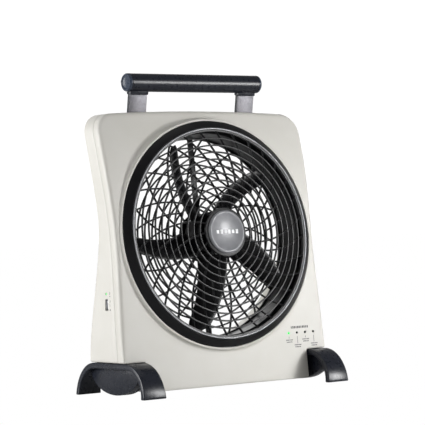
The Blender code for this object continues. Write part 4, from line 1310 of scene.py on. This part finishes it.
@dataclass
class Grille:
    """A lattice of rings crossed by spiral ribs."""

    name: str
    node: str
    base: float
    dome: float
    sweep: float
    rim_r: float
    rings: int = 10
    full_ribs: int = 16
    part_ribs: int = 16
    part_from: int = 3
    hub_r: float = 0.0290
    first_r: float = 0.0385
    rim_w: float = 0.0046
    ring_w: float = 0.0020
    ring_t: float = 0.0028
    rib_w: float = 0.0023
    rib_t: float = 0.0034
    outward: int = 1
    strut_w: float = 0.0

    def height(self, radius: float) -> float:
        """Crest of the lattice at a radius."""
        return self.base + self.dome * (1 - (radius / self.rim_r) ** 2)

    def ring_radii(self) -> list[float]:
        """Radii of the rings, evenly spaced from the first one to the rim.

        Returns:
            The radii, smallest first.
        """
        last = self.rim_r - self.rim_w
        pitch = (last - self.first_r) / self.rings
        return [self.first_r + pitch * step for step in range(self.rings)]

    def spiral(self, turn_by: float, start: float, end: float, sink: float) -> list[Vector]:
        """The middle line of a rib from one radius to another.

        Args:
            turn_by: angle at which it leaves the hub.
            start: its first radius.
            end: its last radius.
            sink: depth under the lattice's crest.

        Returns:
            The line's points, in the head's frame.
        """
        points = []
        steps = max(int((end - start) / 0.005), 4)
        for step in range(steps + 1):
            radius = start + (end - start) * step / steps
            angle = turn_by + self.sweep * (radius - self.hub_r) / (self.rim_r - self.hub_r)
            points.append(Vector((radius * math.cos(angle), radius * math.sin(angle),
                                  self.height(radius) - self.outward * sink)))
        return points

    def build(self, finish: Finish) -> None:
        """Make the rings, the ribs, the hub disc and the rim as one moulding.

        Args:
            finish: of the moulding.
        """
        bm = new_mesh()
        side = self.outward
        for radius in self.ring_radii():
            crest = self.height(radius)
            section = rounded([(radius - self.ring_w / 2, crest),
                               (radius + self.ring_w / 2, crest),
                               (radius + self.ring_w / 2, crest - side * self.ring_t),
                               (radius - self.ring_w / 2, crest - side * self.ring_t)],
                              0.0006, 1)
            ring = new_mesh()
            turn(ring, section, 120)
            merge(bm, ring)
        half_w, half_t = self.rib_w / 2, self.rib_t / 2
        section = [(half_w * math.cos(angle), half_t * math.sin(angle)) for angle in
                   (math.pi * 2 * step / 8 for step in range(8))]
        radii = self.ring_radii()
        total = self.full_ribs
        for index in range(total):
            rib = new_mesh()
            sweep(rib, self.spiral(math.tau * index / total, self.hub_r - 0.001,
                                   self.rim_r - 0.002, half_t + 0.0003), section)
            merge(bm, rib)
        for index in range(self.part_ribs):
            rib = new_mesh()
            sweep(rib, self.spiral(math.tau * (index + 0.5) / self.part_ribs,
                                   radii[self.part_from], self.rim_r - 0.002,
                                   half_t + 0.0003), section)
            merge(bm, rib)
        self.add_rim_and_hub(bm)
        if self.strut_w > 0:
            for ends in ((self.hub_r, self.rim_r - 0.002), (0.002 - self.rim_r, -self.hub_r)):
                merge(bm, block((-self.strut_w / 2, ends[0], self.base + 0.0004),
                                (self.strut_w / 2, ends[1], self.base + 0.0026), 0.0005))
        bmesh.ops.recalc_face_normals(bm, faces=bm.faces)
        add_piece(self.name, bm, finish, stands_for=[self.node], at=HEAD)

    def add_rim_and_hub(self, bm: bmesh.types.BMesh) -> None:
        """The closed disc in the middle and the band round the outside.

        Args:
            bm: the grille's mesh, which they are merged into.
        """
        side, crest = self.outward, self.height(self.hub_r)
        disc = rounded([(self.hub_r + 0.0018, crest), (self.hub_r + 0.0018, crest - side * 0.003),
                        (0.004, crest - side * 0.003), (0.004, crest)], 0.0006, 2)
        hub = new_mesh()
        turn(hub, disc, 72)
        merge(bm, hub)
        edge = self.height(self.rim_r)
        band = rounded([(self.rim_r, edge), (self.rim_r, edge - side * 0.003),
                        (self.rim_r - self.rim_w, edge - side * 0.003),
                        (self.rim_r - self.rim_w, edge + side * 0.0003)], 0.0006, 2)
        rim = new_mesh()
        turn(rim, band)
        merge(bm, rim)


@dataclass
class FrontCover:
    """The front grille, its bright bead and the badge in its middle."""

    base: float = 0.0070
    dome: float = 0.0085
    sweep: float = math.radians(32)
    bead_r: float = 0.1318
    bead_w: float = 0.0010
    badge_r: float = field(init=False)
    mark_length: float = 0.0350
    marks: int = 6

    def __post_init__(self) -> None:
        """Take the badge's size from its CAD node."""
        self.badge_r = radius_of("hub_badge")

    def build(self) -> None:
        """Make the grille, the bead and the badge."""
        grille = Grille("front_lattice", "front_grille", base=self.base, dome=self.dome,
                        sweep=self.sweep, rim_r=radius_of("front_grille"))
        grille.build(LATTICE_BLACK)
        bead = [(self.bead_r + self.bead_w * math.cos(angle),
                 0.0074 + self.bead_w * 0.8 * math.sin(angle))
                for angle in (math.tau * step / 12 for step in range(12))]
        bm = new_mesh()
        turn(bm, bead)
        add_piece("bright_bead", bm, SILVER_TRIM, at=HEAD)
        self.badge(self.base + self.dome + GAP)

    def badge(self, base: float) -> None:
        """The grey disc, with a row of plain raised bars in place of lettering.

        Args:
            base: height of the disc's back in the head's frame.
        """
        radius, thick = self.badge_r, 0.0027
        face = base + thick
        profile = [(0, face - 0.0003), (radius - 0.0036, face - 0.0003), (radius - 0.0032, face),
                   (radius - 0.0020, face), (radius - 0.0008, face - 0.0006),
                   (radius, face - 0.0018), (radius, base), (0, base)]
        bm = new_mesh()
        turn(bm, profile, 96, closed=False)
        add_piece("badge_disc", bm, BADGE_GREY, stands_for=["hub_badge"], at=HEAD)
        bars = new_mesh()
        pitch = self.mark_length / self.marks
        for index in range(self.marks):
            x = (index - (self.marks - 1) / 2) * pitch
            half_x, half_y = pitch * 0.34, 0.0027 if index % 2 else 0.0022
            bar = block((x - half_x, -half_y, face - 0.0005), (x + half_x, half_y, face + 0.0001),
                        0.0004, 1)
            merge(bars, bar)
        add_piece("badge_bars", bars, BADGE_MARK, at=HEAD)


@dataclass
class Rotor:
    """Five blades on a cup-shaped hub."""

    blades: int = 5
    tip_r: float = field(init=False)
    hub_r: float = 0.0290
    front: float = -0.0085
    back: float = -0.0330
    chord_root: float = 0.0400
    chord_tip: float = 0.0270
    thick: float = 0.0024
    mid_z: float = -0.0215
    pitch_root: float = math.radians(36)
    pitch_tip: float = math.radians(28)
    bow: float = math.radians(-20)
    phase: float = math.radians(58)

    def __post_init__(self) -> None:
        """The blades end inside the duct with their running clearance."""
        self.tip_r = radius_of("front_bezel") - DUCT_STEP - BLADE_CLEARANCE

    def build(self) -> None:
        """Make the hub and blades as one moulding."""
        bm = new_mesh()
        wall = 0.0020
        hub = rounded([(0.0018, self.front), (self.hub_r - 0.0035, self.front),
                       (self.hub_r, self.front - 0.0035), (self.hub_r, self.back),
                       (self.hub_r - wall, self.back), (self.hub_r - wall, self.front - 0.004),
                       (0.005, self.front - wall), (0.005, self.front - 0.0045),
                       (0.0018, self.front - 0.0045)], 0.0010, 3)
        turn(bm, hub, 72)
        for index in range(self.blades):
            merge(bm, self.blade(math.tau * index / self.blades + self.phase))
        add_piece("rotor_moulding", bm, ROTOR_BLACK, Body.ROTOR, ["fan_blade"], at=HEAD)

    def blade(self, turn_by: float) -> bmesh.types.BMesh:
        """One cambered, twisted blade of lens-shaped section with a rounded tip.

        Args:
            turn_by: its angle round the hub.

        Returns:
            The blade.
        """
        around, rows = 28, 22
        root = self.hub_r - 0.0012

        def place(column: int, row: int) -> Vector:
            """Point of the blade's skin.

            Args:
                column: step round the section.
                row: step from root to tip.

            Returns:
                The point.
            """
            along = row / rows
            radius = root + (self.tip_r - root) * along
            chord = self.chord_root + (self.chord_tip - self.chord_root) * along
            round_off = max((along - 0.86) / 0.14, 0.0)
            chord *= 0.50 + 0.50 * math.sqrt(max(1 - round_off ** 2, 0.0))
            pitch = self.pitch_root + (self.pitch_tip - self.pitch_root) * along
            angle = math.tau * column / around
            across = math.cos(angle)
            lift = math.sin(angle) * self.thick / 2 * (1 - 0.45 * along)
            offset = across * chord / 2
            sideways = offset * math.cos(pitch) - lift * math.sin(pitch)
            camber = 0.0030 * (1 - across ** 2)
            at = turn_by + self.bow * along + sideways / radius
            return Vector((radius * math.cos(at), radius * math.sin(at),
                           self.mid_z + offset * math.sin(pitch) + lift * math.cos(pitch)
                           + camber))

        bm = new_mesh()
        patch(bm, around, rows, place, wrap=(True, False))
        bmesh.ops.holes_fill(bm, edges=[edge for edge in bm.edges if edge.is_boundary], sides=0)
        return bm


@dataclass
class Foot:
    """An arched foot with a lens-shaped web, under one side of the housing."""

    node: str
    crown_half: float = 0.0360
    wall: float = 0.0070
    web_t: float = 0.0130
    web_half: float = 0.0560
    web_depth: float = 0.0330

    def build(self) -> None:
        """Make the arch and its web as one moulding."""
        low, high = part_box(self.node)
        half_l, height = high.y, high.z
        width = (high.x - low.x) / (1 + 2 * FOOT_FLARE)
        middle = (low.x + high.x) / 2
        reach = half_l - self.crown_half
        outer = arc((self.crown_half, 0), (reach, height), 0, 90, 20)
        inner = arc((self.crown_half, 0), (reach - self.wall, height - self.wall), 90, 0, 20)
        outline = outer + [(-y, z) for y, z in reversed(outer)]
        outline += [(-y, z) for y, z in reversed(inner)] + inner
        arch = slab(outline, "X", -width / 2, width / 2, 0.0012, 3)
        web = arc((0, height - self.wall * 0.9), (self.web_half, self.web_depth), 180, 360, 36)
        top = height - self.wall / 2
        web += [(self.web_half * 0.86, top), (-self.web_half * 0.86, top)]
        plate = slab(web, "X", -self.web_t / 2, self.web_t / 2, 0.0010, 2)
        merge(arch, plate)
        for vert in arch.verts:
            vert.co.x *= 1 + 2 * FOOT_FLARE * (1 - min(vert.co.z / height, 1)) ** 2
        bmesh.ops.translate(arch, vec=Vector((middle, 0, 0)), verts=arch.verts)
        add_piece(self.node + "_arch", arch, SLATE, stands_for=[self.node])


@dataclass
class Handle:
    """The fold-down bail: a tubular grip with end caps, on two flat straps."""

    lean: float = math.radians(10)
    grip_r: float = 0.0115
    reach: float = 0.0533
    wall: float = 0.0025
    half_l: float = 0.0985
    neck_t: float = 0.0090
    neck_drop: float = 0.0150
    strap_t: float = 0.0045
    frame: Matrix = field(init=False)

    def __post_init__(self) -> None:
        """Stand the handle's own frame on its pivot, leaning forwards."""
        pivot = Vector(joint("handle_fold")["pos_m"])
        self.frame = Matrix.Translation(pivot) @ Matrix.Rotation(self.lean, 4, "X")

    def build(self) -> None:
        """Make the grip, its caps and the straps."""
        self.grip()
        for side in Side:
            self.cap(side)
            self.strap(side)

    def strap_span(self, side: Side) -> tuple[float, float]:
        """Left and right edges of a strap."""
        low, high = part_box(f"handle_strap_{side.name.lower()}")
        return low.x, high.x

    def grip(self) -> None:
        """A tube with chamfered ends and a neck over each strap."""
        outer, inner, half = self.grip_r, self.grip_r - self.wall, self.half_l
        profile = [(outer - 0.0006, -half), (outer, -half + 0.0006), (outer, half - 0.0006),
                   (outer - 0.0006, half), (inner, half), (inner, -half)]
        tube = new_mesh()
        turn(tube, profile, 64)
        tube.transform(Matrix.Rotation(math.pi / 2, 4, "Y"))
        tube.transform(Matrix.Translation((0, 0, self.reach)))
        necks = []
        pockets = []
        for side in Side:
            left, right = self.strap_span(side)
            necks.append(block((left - 0.0004, -self.neck_t / 2, self.reach - self.neck_drop),
                               (right + 0.0004, self.neck_t / 2, self.reach - inner + 0.001),
                               0.0012, 2))
            pockets.append(block((left - GAP, -self.strap_t / 2 - GAP, 0),
                                 (right + GAP, self.strap_t / 2 + GAP, self.reach)))
        grip = carve(tube, *necks, operation="UNION")
        grip = carve(grip, *pockets)
        add_piece("grip_tube", grip, SLATE, Body.HANDLE, ["handle_grip"], at=self.frame)

    def cap(self, side: Side) -> None:
        """A shallow cap with a raised rim that closes one end of the tube.

        Args:
            side: the end that it closes.
        """
        outer = self.grip_r
        profile = [(0, 0.0018), (outer * 0.62, 0.0018), (outer * 0.72, 0.0022),
                   (outer * 0.80, 0.0034), (outer * 0.90, 0.0034), (outer - 0.0004, 0.0026),
                   (outer, 0.0014), (outer, 0), (outer - 0.0029, 0), (outer - 0.0029, -0.0013),
                   (0, -0.0013)]
        bm = new_mesh()
        turn(bm, profile, 64, closed=False)
        tab_y = outer * 0.86
        tab = block((-0.0016, tab_y - 0.0012, 0.0012), (0.0016, tab_y + 0.0014, 0.0034), 0.0005)
        merge(bm, tab)
        bm.transform(Matrix.Rotation(side.value * math.pi / 2, 4, "Y"))
        start = side.value * (self.half_l + GAP)
        bm.transform(Matrix.Translation((start, 0, self.reach)))
        name = f"grip_cap_{side.name.lower()}"
        # The cap is in the slate plastic painted lighter: a painted highlight for the light that it catches.
        add_piece(name + "_disc", bm, PAINTED_LIT_SLATE, Body.HANDLE, [name], at=self.frame)

    def strap(self, side: Side) -> None:
        """A flat strap with rounded edges, rolled into a knuckle at the pivot.

        Args:
            side: the side that it stands on.
        """
        left, right = self.strap_span(side)
        half = self.strap_t / 2
        bar = block((left, -half, 0), (right, half, self.reach + 0.004), 0.0007, 3)
        knuckle = rod((left, 0, 0), (right, 0, 0), 0.0040, 32, 0.0004)
        bore = rod((left - 0.01, 0, 0), (right + 0.01, 0, 0), 0.0018, 24)
        bar = carve(bar, knuckle, operation="UNION")
        bar = carve(bar, bore)
        name = f"handle_strap_{side.name.lower()}"
        piece = add_piece(name + "_bar", bar, STRAP_METAL, Body.HANDLE, [name], at=self.frame)
        piece.data.materials.append(SLATE.material())
        for face in piece.data.polygons:
            face.material_index = 1 if abs(face.normal.x) > 0.5 else 0


@dataclass
class BatteryBay:
    """The door in the back, and the cells in their tray."""

    def build(self) -> None:
        """Make the door and the cells."""
        self.door()
        for row in ("front", "rear"):
            for place in range(1, 4):
                self.cell(f"cell_{row}_{place}")

    def door(self) -> None:
        """A plate with raised ribs near its upper edge and a bore along its lower edge."""
        low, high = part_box("battery_door")
        plate = block(low, high, 0.0008, 2)
        tools = [rod((low.x - 0.01, high.y - 0.0012, low.z + 0.0019),
                     (high.x + 0.01, high.y - 0.0012, low.z + 0.0019), 0.0008, 16)]
        plate = carve(plate, *tools)
        ribs = []
        for step in range(7):
            z = high.z - 0.0060 - step * 0.0017
            ribs.append(block((-0.016, high.y - 0.0003, z - 0.0004),
                              (0.016, high.y + 0.0007, z + 0.0004), 0.0003, 1))
        merge(plate, *ribs)
        add_piece("battery_door_plate", plate, CASE, Body.DOOR, ["battery_door"])

    def cell(self, node: str) -> None:
        """A cell: a can with crimped ends, a sleeve and a nub.

        Args:
            node: the cell's CAD node.
        """
        low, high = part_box(node)
        length = high.x - low.x
        radius = (high.z - low.z) / 2
        nub_right = "rear" in node
        profile = [(0, 0), (radius * 0.86, 0), (radius * 0.93, 0.0004), (radius, 0.0016),
                   (radius, length - 0.0034), (radius * 0.94, length - 0.0018),
                   (radius * 0.84, length - 0.0020), (0.0050, length - 0.0016),
                   (0.0045, length - 0.0014), (0.0044, length - 0.0003), (0.0038, length),
                   (0, length)]
        bm = new_mesh()
        turn(bm, profile, 48, closed=False)
        aim = Matrix.Rotation(math.pi / 2 if nub_right else -math.pi / 2, 4, "Y")
        start = low.x if nub_right else high.x
        place = Matrix.Translation((start, (low.y + high.y) / 2, (low.z + high.z) / 2)) @ aim
        add_piece(node + "_can", bm, SLEEVE, stands_for=[node], at=place)


@dataclass
class Indicators:
    """The four front lights and the plain printed legend under them."""

    form: Form
    line_w: float = 0.0006
    raised: float = 0.00005

    def build(self) -> None:
        """Make the lenses and the legend."""
        for number in range(1, 5):
            node = f"indicator_led_{number}"
            middle, out, radius = lens_place(node)
            profile = [(0, 0.0002), (radius * 0.45, 0), (radius * 0.8, -0.0005),
                       (radius, -0.0014), (radius, -0.0060), (0, -0.0060)]
            bm = new_mesh()
            turn(bm, profile, 28, closed=False)
            aim = Vector((0, 0, 1)).rotation_difference(out).to_matrix().to_4x4()
            add_piece(node + "_lens", bm, LIT_LENS if number == 1 else DARK_LENS,
                      stands_for=[node], at=Matrix.Translation(middle) @ aim)
        self.legend()

    def mark(self, x: float, z: float, half_x: float, half_z: float) -> bmesh.types.BMesh:
        """A printed bar on the face, with its middle at X and Z.

        Args:
            x: of its middle.
            z: of its middle.
            half_x: half its width.
            half_z: half its height.

        Returns:
            The bar.
        """
        y = self.form.front_y(z)
        bar = block((x - half_x, -self.raised, -half_z), (x + half_x, self.raised, half_z))
        lean = math.atan(self.form.slope)
        bar.transform(Matrix.Translation((0, y, z)) @ Matrix.Rotation(-lean, 4, "X"))
        return bar

    def legend(self) -> None:
        """Leader lines, rows of short dashes and a heading rule, with no lettering."""
        places = [lens_place(f"indicator_led_{number}")[0] for number in range(1, 5)]
        bars = []
        drops = (0.0026, 0.0092, 0.0026, 0.0086)
        for place, drop in zip(places, drops):
            top = place.z - 0.0046
            bars.append(self.mark(place.x, top - drop / 2, self.line_w / 2, drop / 2))
            for row, width in enumerate((0.0128, 0.0096)):
                z = top - drop - 0.0018 - row * 0.0026
                bars += self.dashes(place.x, z, width)
        middle = (places[0].x + places[-1].x) / 2
        heading_z = places[0].z + 0.0068
        bars += self.dashes(middle - 0.002, heading_z, 0.0290, 0.0015, 0.0026)
        legend = merge(*bars)
        add_piece("printed_legend", legend, PRINT)

    def dashes(self, x: float, z: float, width: float, half_z: float = 0.0007,
               pitch: float = 0.0019) -> list[bmesh.types.BMesh]:
        """A row of short dashes centred on X.

        Args:
            x: of the row's middle.
            z: of the row's middle.
            width: of the row.
            half_z: half a dash's height.
            pitch: from one dash to the next.

        Returns:
            The dashes.
        """
        count = max(int(width / pitch), 2)
        row = []
        for step in range(count):
            at = x + (step - (count - 1) / 2) * pitch
            share = 0.38 if step % 3 else 0.28
            row.append(self.mark(at, z, pitch * share, half_z))
        return row


@dataclass
class Ports:
    """The socket with its light and marks on the left, and the rocker on the right."""

    form: Form

    def build(self) -> None:
        """Make everything let into the two sides."""
        self.usb()
        self.side_light()
        self.icons()
        self.rocker()

    def usb(self) -> None:
        """A folded steel shell, its insulating tongue and four contacts."""
        low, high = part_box("usb_socket")
        sheet = 0.0005
        shell = block(low, high, 0.0005, 2)
        hollow = block(low + Vector((-0.01, sheet, sheet)), high - Vector((0.001, sheet, sheet)),
                       0.0003, 1)
        shell = carve(shell, hollow)
        add_piece("usb_shell", shell, STEEL, stands_for=["usb_socket"])
        middle = (low + high) / 2
        tongue = block((low.x + 0.0014, middle.y - 0.0002, low.z + 0.0014),
                       (high.x - 0.0008, middle.y + 0.0017, high.z - 0.0014), 0.0002, 1)
        add_piece("usb_tongue", tongue, BADGE_MARK)
        strips = []
        for step in range(4):
            z = middle.z + (step - 1.5) * 0.0022
            strips.append(block((low.x + 0.0020, middle.y - 0.0004, z - 0.0005),
                                (high.x - 0.0020, middle.y - 0.0001, z + 0.0005)))
        add_piece("usb_contacts", merge(*strips), COPPER)

    def side_light(self) -> None:
        """A small domed lens above the socket."""
        low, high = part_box("side_led")
        radius = (high.z - low.z) / 2
        profile = [(0, 0), (radius * 0.5, -0.0001), (radius * 0.85, -0.0005),
                   (radius, -0.0012), (radius, low.x - high.x), (0, low.x - high.x)]
        bm = new_mesh()
        turn(bm, profile, 24, closed=False)
        place = Matrix.Translation((low.x, (low.y + high.y) / 2, (low.z + high.z) / 2))
        aim = Matrix.Rotation(-math.pi / 2, 4, "Y")
        add_piece("side_lens", bm, LIT_LENS, stands_for=["side_led"], at=place @ aim)

    def side_mark(self, y: float, z: float, half_y: float, half_z: float,
                  tilt: float = 0.0) -> bmesh.types.BMesh:
        """A printed bar on the left side.

        Args:
            y: of its middle.
            z: of its middle.
            half_y: half its width.
            half_z: half its height.
            tilt: its turn about X.

        Returns:
            The bar.
        """
        bar = block((-0.00005, -half_y, -half_z), (0.00005, half_y, half_z))
        x = -self.form.half_width(z)
        bar.transform(Matrix.Translation((x, y, z)) @ Matrix.Rotation(tilt, 4, "X"))
        return bar

    def icons(self) -> None:
        """Plain marks beside the socket: a bar, a bent line and a dot."""
        low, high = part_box("usb_socket")
        y = low.y - 0.0042
        middle = (low.z + high.z) / 2
        marks = [self.side_mark(y + 0.0006, high.z + 0.0070, 0.0004, 0.0026, 0.2),
                 self.side_mark(y + 0.0002, high.z + 0.0040, 0.0007, 0.0007),
                 self.side_mark(y - 0.0004, middle + 0.0034, 0.0003, 0.0022, 0.35),
                 self.side_mark(y - 0.0002, middle - 0.0010, 0.0003, 0.0018, -0.3),
                 self.side_mark(y - 0.0008, low.z + 0.0004, 0.0009, 0.0009)]
        add_piece("side_marks", merge(*marks), PRINT)

    def rocker(self) -> None:
        """The rocker with a raised bar on one half and a raised ring on the other."""
        low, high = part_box("switch_rocker")
        pivot = Vector(joint("switch_rock")["pos_m"])
        half = (high.z - low.z) / 2
        width = (high.y - low.y) / 2
        dip, raise_by, under = 0.0027, 0.0006, 0.0020
        crest = [(dip + raise_by * (step / 8) ** 2, half * step / 8) for step in range(-8, 9)]
        outline = crest + [(-under, half - 0.001), (-2 * under, 0), (-under, -half + 0.001)]
        body = slab(outline, "Y", -width, width, 0.0004, 2)
        body.transform(Matrix.Translation(pivot))
        add_piece("rocker_cap", body, GLOSS_BLACK, Body.ROCKER, ["switch_rocker"])
        bar = block((dip + 0.0001, -0.0003, 0.0036), (dip + 0.0005, 0.0003, 0.0066))
        ring = new_mesh()
        turn(ring, rounded([(0.0012, -0.0002), (0.0017, -0.0002), (0.0017, 0.0002),
                            (0.0012, 0.0002)], 0.0001, 1), 28)
        ring.transform(Matrix.Translation((dip + 0.0003, 0, -0.0050))
                       @ Matrix.Rotation(math.pi / 2, 4, "Y"))
        marks = merge(bar, ring)
        marks.transform(Matrix.Translation(pivot))
        add_piece("rocker_marks", marks, BADGE_MARK, Body.ROCKER)


@dataclass
class RearCover:
    """The rear grille, and the screws that hold the motor to its hub disc."""

    seat: float = -0.0440
    sweep: float = math.radians(-32)
    rings: int = 8
    first_r: float = 0.0400
    strut_w: float = 0.0080

    def build(self) -> None:
        """Make the grille and the screws."""
        grille = Grille("rear_lattice", "rear_grille", base=self.seat, dome=0.0, outward=-1,
                        sweep=self.sweep, rim_r=radius_of("rear_grille"), rings=self.rings,
                        part_ribs=0, first_r=self.first_r, strut_w=self.strut_w)
        grille.build(GLOSS_BLACK)
        for side in Side:
            Screw(f"motor_screw_{side.name.lower()}").build()


def dress_cad_nodes() -> None:
    """Give every CAD node that still shows the finish of its slot."""
    slots = {entry["node"]: entry["material_slot"] for entry in frame["record"]["subparts"]}
    for name, obj in frame["nodes"].items():
        if obj.hide_render:
            continue
        finish = SLOT_FINISH[Slot(slots[name])]
        obj.data.materials.clear()
        obj.data.materials.append(finish.material())
        LOG.info("%s: CAD node in %s", name, finish.name)


@dataclass
class Studio:
    """A white floor, soft lights and the camera."""

    target: Vector = field(default_factory=lambda: Vector((0.0077, 0.0, 0.2206)))
    heading: float = math.radians(35.86)
    pitch: float = math.radians(-0.45)
    roll: float = math.radians(-2.11)
    distance: float = 2.4743
    lens: float = 165.9
    floor_r: float = 30.0
    room_light: float = 0.19
    seen_white: float = 1.05

    def build(self) -> None:
        """Set up the room."""
        self.floor()
        self.world()
        self.lights()
        self.camera()

    def floor(self) -> None:
        """A wide floor just under the feet, plain white to the eye and pale to the light."""
        bm = new_mesh()
        bmesh.ops.create_circle(bm, cap_ends=True, segments=96, radius=self.floor_r)
        bmesh.ops.translate(bm, vec=Vector((0, 0, CAD_BOX[0].z - 0.0002)), verts=bm.verts)
        mesh = bpy.data.meshes.new("floor")
        bm.to_mesh(mesh)
        bm.free()
        material = bpy.data.materials.new("white_floor")
        graph = Graph(material)
        tone = graph.noise(0.4, 2)
        graph.feed("Base Color", graph.blend(tone, [(0.3, (0.80, 0.80, 0.80, 1)),
                                                    (0.7, (0.82, 0.82, 0.82, 1))]))
        graph.set(Roughness=0.9, Specular_IOR_Level=0.0)
        glow = graph.nodes.new("ShaderNodeEmission")
        mix = graph.nodes.new("ShaderNodeMixShader")
        seen = graph.nodes.new("ShaderNodeLightPath").outputs["Is Camera Ray"]
        graph.links.new(seen, mix.inputs["Fac"])
        graph.links.new(graph.shader.outputs["BSDF"], mix.inputs[1])
        graph.links.new(glow.outputs["Emission"], mix.inputs[2])
        graph.links.new(mix.outputs["Shader"], graph.nodes["Material Output"].inputs["Surface"])
        mesh.materials.append(material)
        floor = bpy.data.objects.new("floor", mesh)
        bpy.context.scene.collection.objects.link(floor)

    def world(self) -> None:
        """White all round for the eye, and a dimmer room for the light it gives."""
        world = bpy.data.worlds.new("studio")
        bpy.context.scene.world = world
        world.use_nodes = True
        nodes, links = world.node_tree.nodes, world.node_tree.links
        room = nodes["Background"]
        room.inputs["Color"].default_value = (1.0, 1.0, 1.0, 1.0)
        room.inputs["Strength"].default_value = self.room_light
        seen = nodes.new("ShaderNodeBackground")
        seen.inputs["Color"].default_value = (1.0, 1.0, 1.0, 1.0)
        seen.inputs["Strength"].default_value = self.seen_white
        mix = nodes.new("ShaderNodeMixShader")
        links.new(nodes.new("ShaderNodeLightPath").outputs["Is Camera Ray"], mix.inputs["Fac"])
        links.new(room.outputs["Background"], mix.inputs[1])
        links.new(seen.outputs["Background"], mix.inputs[2])
        links.new(mix.outputs["Shader"], nodes["World Output"].inputs["Surface"])

    def lamp(self, name: str, place: tuple[float, float, float], size: tuple[float, float],
             power: float, aim: tuple[float, float, float] = (0, 0, 0.2),
             spread: float = 180) -> None:
        """A soft rectangular light that faces a point, with its spread in degrees.

        Args:
            name: of the lamp.
            place: where it stands.
            size: its width and height.
            power: in watts.
            aim: the point that it faces.
            spread: how wide it shines, in degrees.
        """
        data = bpy.data.lights.new(name, "AREA")
        data.shape = "RECTANGLE"
        data.size, data.size_y = size
        data.energy = power
        data.spread = math.radians(spread)
        lamp = bpy.data.objects.new(name, data)
        lamp.location = place
        direction = Vector(aim) - Vector(place)
        lamp.rotation_mode = "QUATERNION"
        lamp.rotation_quaternion = direction.to_track_quat("-Z", "Y")
        bpy.context.scene.collection.objects.link(lamp)

    def lights(self) -> None:
        """Boxes at the left, right, front, top and rear, and a narrow one that grazes the left."""
        self.lamp("left_box", (-2.0, 1.1, 0.4), (1.0, 1.2), 42)
        self.lamp("edge_box", (-2.0, -0.02, 0.6), (0.4, 1.0), 13)
        self.lamp("right_box", (1.1, -1.3, 0.30), (0.5, 0.4), 1.5, (0.22, 0, 0.15), 48)
        self.lamp("front_box", (1.3, -2.0, 0.70), (0.9, 0.35), 15)
        self.lamp("top_box", (0.0, -0.2, 2.0), (1.4, 0.4), 2)
        self.lamp("rear_box", (1.0, 2.0, 0.9), (1.4, 1.2), 10)

    def camera(self) -> None:
        """Look at the fan from the front left, a little rolled."""
        away = Vector((-math.sin(self.heading) * math.cos(self.pitch),
                       -math.cos(self.heading) * math.cos(self.pitch), math.sin(self.pitch)))
        ahead = -away
        right = ahead.cross(Vector((0, 0, 1))).normalized()
        up = right.cross(ahead)
        across = right * math.cos(self.roll) + up * math.sin(self.roll)
        rise = up * math.cos(self.roll) - right * math.sin(self.roll)
        data = bpy.data.cameras.new("camera")
        data.lens = self.lens
        data.sensor_width = 36
        camera = bpy.data.objects.new("camera", data)
        turn_to = Matrix((across, rise, away)).transposed().to_4x4()
        camera.matrix_world = Matrix.Translation(self.target + away * self.distance) @ turn_to
        bpy.context.scene.collection.objects.link(camera)
        bpy.context.scene.camera = camera
        bpy.context.scene.view_settings.view_transform = "Standard"


def main() -> None:
    """Build the fan's looks round the frame, then the studio."""
    logging.basicConfig(level=logging.INFO, format="%(name)s: %(message)s")
    form = Form()
    Housing(form).build()
    Bezel().build()
    FrontCover().build()
    Rotor().build()
    RearCover().build()
    for side in Side:
        Foot(f"{side.name.lower()}_foot").build()
    for number in range(1, 5):
        Screw(f"foot_screw_{number}").build()
    Handle().build()
    BatteryBay().build()
    Indicators(form).build()
    Ports(form).build()
    dress_cad_nodes()
    Studio().build()


if __name__ == "__main__":
    main()
